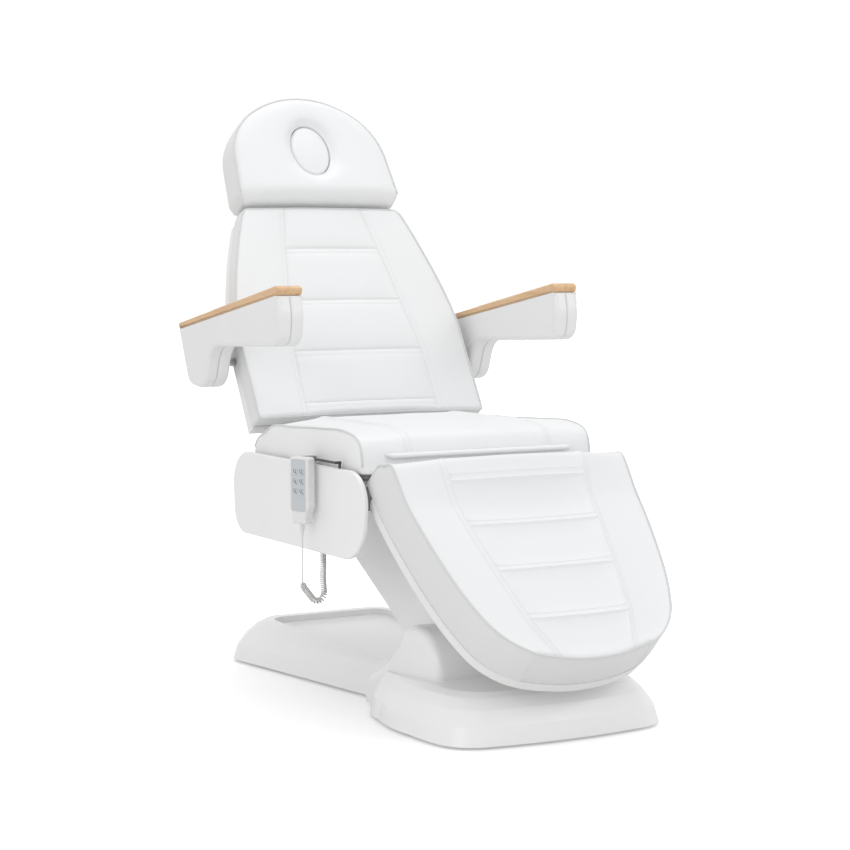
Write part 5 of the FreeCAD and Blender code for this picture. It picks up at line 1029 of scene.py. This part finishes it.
ARM_REACH, ARM_INNER, ARM_WIDTH = 452 * MM, 331 * MM, 32 * MM
ARM_PIVOT = LEAN @ Vector((0, 185 * MM, -66.2 * MM))
ARM_BORE, ARM_BORE_DEPTH, ARM_BORE_SIDES = 10.5 * MM, 23 * MM, 32
ARM_EDGE, ARM_GROOVE, WOOD_EDGE, CRISP_EDGE = 11 * MM, 5 * MM, 4 * MM, 0.5 * MM
# Outlines round the pivot: along, up and corner radius as shares of the reach. The wood lies on the first two.
ARM_CORNERS = ((0.246, 0.17, 0), (-0.962, 0.3745, 0.02), (-0.985, 0.27, 0.2), (-0.968, 0.123, 0.115),
               (-0.146, 0.091, 0.122), (-0.066, -0.139, 0.11), (0.144, -0.117, 0.088))
WOOD_CORNERS = ((0.246, 0.1715, 0.004), (0.268, 0.203, 0.012), (-0.935, 0.419, 0.012), (-0.962, 0.406, 0.016),
                (-0.952, 0.374, 0.006))


def rounded(corners, steps=8):
    """Closed line through anticlockwise corners (across, up, radius), each rounded by its radius."""
    points = []
    for before, (x, y, radius), after in zip(corners[-1:] + corners[:-1], corners, corners[1:] + corners[:1]):
        corner = Vector((x, y))
        if not radius:
            points.append(corner)
            continue
        back = (Vector(before[:2]) - corner).normalized()
        ahead = (Vector(after[:2]) - corner).normalized()
        half = back.angle(ahead) / 2
        trim = min(radius / math.tan(half), 0.48 * (Vector(before[:2]) - corner).length,
                   0.48 * (Vector(after[:2]) - corner).length)
        middle = corner + (back + ahead).normalized() * trim / math.cos(half)
        start = corner + back * trim - middle
        turn = start.angle_signed(corner + ahead * trim - middle)
        points += [middle + Matrix.Rotation(-turn * step / steps, 2) @ start for step in range(steps + 1)]
    return points


def inwards(line):
    """Inward direction at each point of a closed anticlockwise line, longer where it turns."""
    found = []
    for before, point, after in zip(line[-1:] + line[:-1], line, line[1:] + line[:1]):
        first, second = (point - before).normalized(), (after - point).normalized()
        run = (first + second).normalized()
        found.append(Vector((-run.y, run.x)) / max(run.dot(second), 0.6))
    return found


def slab(name, line, span, edges, body, material, replaced, crisp=lambda point: False, bore=None):
    """Moulded or sawn plate upright along the chair, its edges rounded but where they are crisp.

    A bore (from, to) across it is left open where it meets one of the plate's two sides."""
    work = bmesh.new()
    inward = inwards(line)
    rings = []
    for level, radius, sign, degrees in ((span[0], edges[0], 1, range(0, 91, 18)),
                                         (span[1], edges[1], -1, range(90, -1, -18))):
        for angle in map(math.radians, degrees):
            ring = []
            for point, way in zip(line, inward):
                size = CRISP_EDGE if crisp(point) else radius
                spot = point + way * size * (1 - math.sin(angle))
                ring.append(work.verts.new((level + sign * size * (1 - math.cos(angle)), ARM_PIVOT.y + spot.x,
                                            ARM_PIVOT.z + spot.y)))
            rings.append(ring)
    quads = [quad for one, other in zip(rings, rings[1:]) for quad in band(one, other)]
    holes = {}
    if bore:
        turns = [math.tau * step / ARM_BORE_SIDES for step in range(ARM_BORE_SIDES)]
        circle = [(ARM_PIVOT.y + ARM_BORE * math.cos(turn), ARM_PIVOT.z + ARM_BORE * math.sin(turn)) for turn in turns]
        mouth, floor = ([work.verts.new((level, y, z)) for y, z in circle] for level in bore)
        quads += band(mouth, floor)
        holes[bore[0]] = mouth
        if bore[1] in span:
            holes[bore[1]] = floor
        else:
            quads.append(floor)
    for quad in quads:
        work.faces.new(quad)
    for level, ring in ((span[0], rings[0]), (span[1], rings[-1])):
        if level not in holes:
            work.faces.new(ring)
            continue
        pairs = [pair for loop in (ring, holes[level]) for pair in zip(loop, loop[1:] + loop[:1])]
        edged = [work.edges.get(pair) or work.edges.new(pair) for pair in pairs]
        bmesh.ops.triangle_fill(work, use_beauty=True, edges=edged)
    piece = add_worked(name, work, material)
    piece.modifiers.new("even_shading", "WEIGHTED_NORMAL").weight = 80
    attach(piece, body)
    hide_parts(replaced)


def make_armrests():
    """Armrests: two rounded shell halves with the parting groove between them, under a beech top."""
    shell, wood = (rounded([(x * ARM_REACH, y * ARM_REACH, bend * ARM_REACH) for x, y, bend in corners], steps)
                   for corners, steps in ((ARM_CORNERS, 10), (WOOD_CORNERS, 5)))
    rear, front = (Vector(corner[:2]) * ARM_REACH for corner in ARM_CORNERS[:2])
    run = (front - rear).normalized()

    def under_wood(point):
        return (point - rear - run * (point - rear).dot(run)).length < 3 * MM

    middle, outer = ARM_INNER + ARM_WIDTH, ARM_INNER + 2 * ARM_WIDTH
    for side, sign in (("left", -1), ("right", 1)):
        body = f"armrest_{side}"
        for half, start, end, edges, bore_end in (("inner", ARM_INNER, middle, (ARM_EDGE, ARM_GROOVE), middle),
                                                  ("outer", middle, outer, (ARM_GROOVE, ARM_EDGE),
                                                   middle + ARM_BORE_DEPTH)):
            # The shell halves take the darker copy of the white moulding, painted shade.
            slab(f"arm_{half}_moulding_{side}", shell, (start * sign, end * sign)[::sign], edges[::sign], body,
                 SHADED_ARM_WHITE, f"arm_{half}_shell_{side}", under_wood, (start * sign, bore_end * sign))
        slab(f"arm_wood_{side}", wood, (ARM_INNER * sign, outer * sign)[::sign], (WOOD_EDGE, WOOD_EDGE), body, BEECH,
             f"arm_top_{side}")


KEYPAD_HALF, KEYPAD_LOW, KEYPAD_HIGH, KEYPAD_CORNER, KEY_GAP = 22 * MM, 27 * MM, 143 * MM, 5 * MM, 0.35 * MM
KEYPAD_RISE, KEYPAD_THICK = 0.55 * MM, 1.4 * MM


def make_keypad():
    """Pale membrane over the handset's face, open round the six keys, with rounded corners."""
    origin = Vector((-358 * MM, -30 * MM - DATUM, 419 * MM))
    half, low, high, bend = KEYPAD_HALF, KEYPAD_LOW, KEYPAD_HIGH, KEYPAD_CORNER
    windows = []
    for index in range(1, 7):
        spots = [vertex.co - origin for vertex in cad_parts[f"key_{index}"].data.vertices]
        sides, heights = [spot.dot(HANDSET_ACROSS) for spot in spots], [spot.z for spot in spots]
        windows.append((min(sides) - KEY_GAP, max(sides) + KEY_GAP, min(heights) - KEY_GAP, max(heights) + KEY_GAP))
    marks = sorted({round(value, 6) for window in windows for value in window[:2]} |
                   {-half, -half + bend, half - bend, half})
    levels = sorted({round(value, 6) for window in windows for value in window[2:]} |
                    {low, low + bend, high - bend, high})
    work = bmesh.new()
    for left, right in zip(marks, marks[1:]):
        for bottom, top in zip(levels, levels[1:]):
            x, y = Vector(((left + right) / 2, (bottom + top) / 2))
            if any(a < x < b and c < y < d for a, b, c, d in windows):
                continue
            if (left <= -half or right >= half) and (bottom <= low or top >= high):
                pivot = Vector((right if left <= -half else left, top if bottom <= low else bottom))
                way = Vector((-1 if left <= -half else 1, -1 if bottom <= low else 1))
                ring = [pivot] + [pivot + Vector((way.x * bend * math.cos(turn), way.y * bend * math.sin(turn)))
                                  for turn in map(math.radians, range(0, 91, 15))]
            else:
                ring = [Vector(corner) for corner in ((left, bottom), (right, bottom), (right, top), (left, top))]
            work.faces.new([work.verts.new(origin + HANDSET_ACROSS * point.x + Vector((0, 0, point.y)) +
                                           HANDSET_OUT * KEYPAD_RISE) for point in ring])
    bmesh.ops.remove_doubles(work, verts=work.verts, dist=0.01 * MM)
    made = bmesh.ops.extrude_face_region(work, geom=work.faces[:])
    bmesh.ops.translate(work, verts=[item for item in made["geom"] if isinstance(item, bmesh.types.BMVert)],
                        vec=HANDSET_OUT * -KEYPAD_THICK)
    piece = add_worked("keypad_membrane", work, KEYPAD, smooth=False)
    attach(piece, "handset")
    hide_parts("keypad_sheet")


def set_camera():
    camera = bpy.data.objects.new("camera", bpy.data.cameras.new("camera"))
    bpy.context.collection.objects.link(camera)
    camera.data.lens = CAMERA_LENS
    camera.data.sensor_width = 36
    away = Vector((math.sin(CAMERA_AZIMUTH) * math.cos(CAMERA_RISE), -math.cos(CAMERA_AZIMUTH) * math.cos(CAMERA_RISE),
                   math.sin(CAMERA_RISE)))
    camera.location = CAMERA_AIM + away * CAMERA_DISTANCE
    camera.rotation_euler = (-away).to_track_quat("-Z", "Y").to_euler()
    bpy.context.scene.camera = camera


def area_light(name, place, aim, size, power):
    light = bpy.data.lights.new(name, "AREA")
    light.shape = "DISK"
    light.size = size
    light.energy = power
    lamp = bpy.data.objects.new(name, light)
    bpy.context.collection.objects.link(lamp)
    lamp.location = place
    lamp.rotation_euler = (Vector(aim) - Vector(place)).to_track_quat("-Z", "Y").to_euler()


LAMPS = (("key", (3.0, -4.6, 3.4), (0, 0, 0.7), 3.2, 36), ("fill", (-4.6, -2.6, 2.4), (0, 0, 0.6), 3.2, 34),
         ("top", (0.3, 0.6, 4.6), (0, 0, 0.6), 3.6, 48))
SURROUND_LIGHT, SURROUND_SEEN = 0.8, 1.02
GROUND_HALF = 30


def set_studio():
    """White floor and surround, and soft lamps from the front and above."""
    for lamp in LAMPS:
        area_light(*lamp)
    world = bpy.data.worlds.new("surround")
    bpy.context.scene.world = world
    world.use_nodes = True
    world.node_tree.nodes.clear()
    surround = Nodes(world.node_tree)
    seen, mirrored = (surround.node("ShaderNodeLightPath", output=name) for name in ("Is Camera Ray", "Is Glossy Ray"))
    either = surround.node("ShaderNodeMath", {"operation": "MAXIMUM"}, {0: seen, 1: mirrored})
    lit, shown = (surround.node("ShaderNodeBackground", None, {"Color": (1, 1, 1, 1), "Strength": strength})
                  for strength in (SURROUND_LIGHT, SURROUND_SEEN))
    mix = surround.node("ShaderNodeMixShader", None, {"Fac": either, 1: lit, 2: shown})
    output = surround.tree.nodes.new("ShaderNodeOutputWorld")
    surround.tree.links.new(mix.socket, output.inputs["Surface"])
    floor = Finish("studio_floor", (0.86, 0.86, 0.86), 0.45)
    seen = floor.node("ShaderNodeLightPath")
    away = floor.node("ShaderNodeVectorMath", {"operation": "LENGTH"}, {0: floor.place}, output=1)
    floor.feed("Emission Color", floor.blend(seen * floor.ranged(away, 0.5, 1.25, 0.25, 0.75), (0, 0, 0), (1, 1, 1)))
    floor.shader.inputs["Emission Strength"].default_value = 1.0
    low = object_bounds()[0][2]
    corners = [(x * GROUND_HALF, y * GROUND_HALF, low) for x, y in ((-1, -1), (1, -1), (1, 1), (-1, 1))]
    ground = add_mesh("studio_ground", corners, [(0, 1, 2, 3)], UNMOVED, [floor.material], smooth=False)
    bpy.context.scene.view_settings.view_transform = "Standard"


set_camera()
make_cord()
finish_nodes()
make_back_cushion()
make_headrest_cushion()
make_seat_cushion()
make_front_flap()
make_leg_cushion()
make_armrests()
make_keypad()
make_key_symbols()
set_studio()
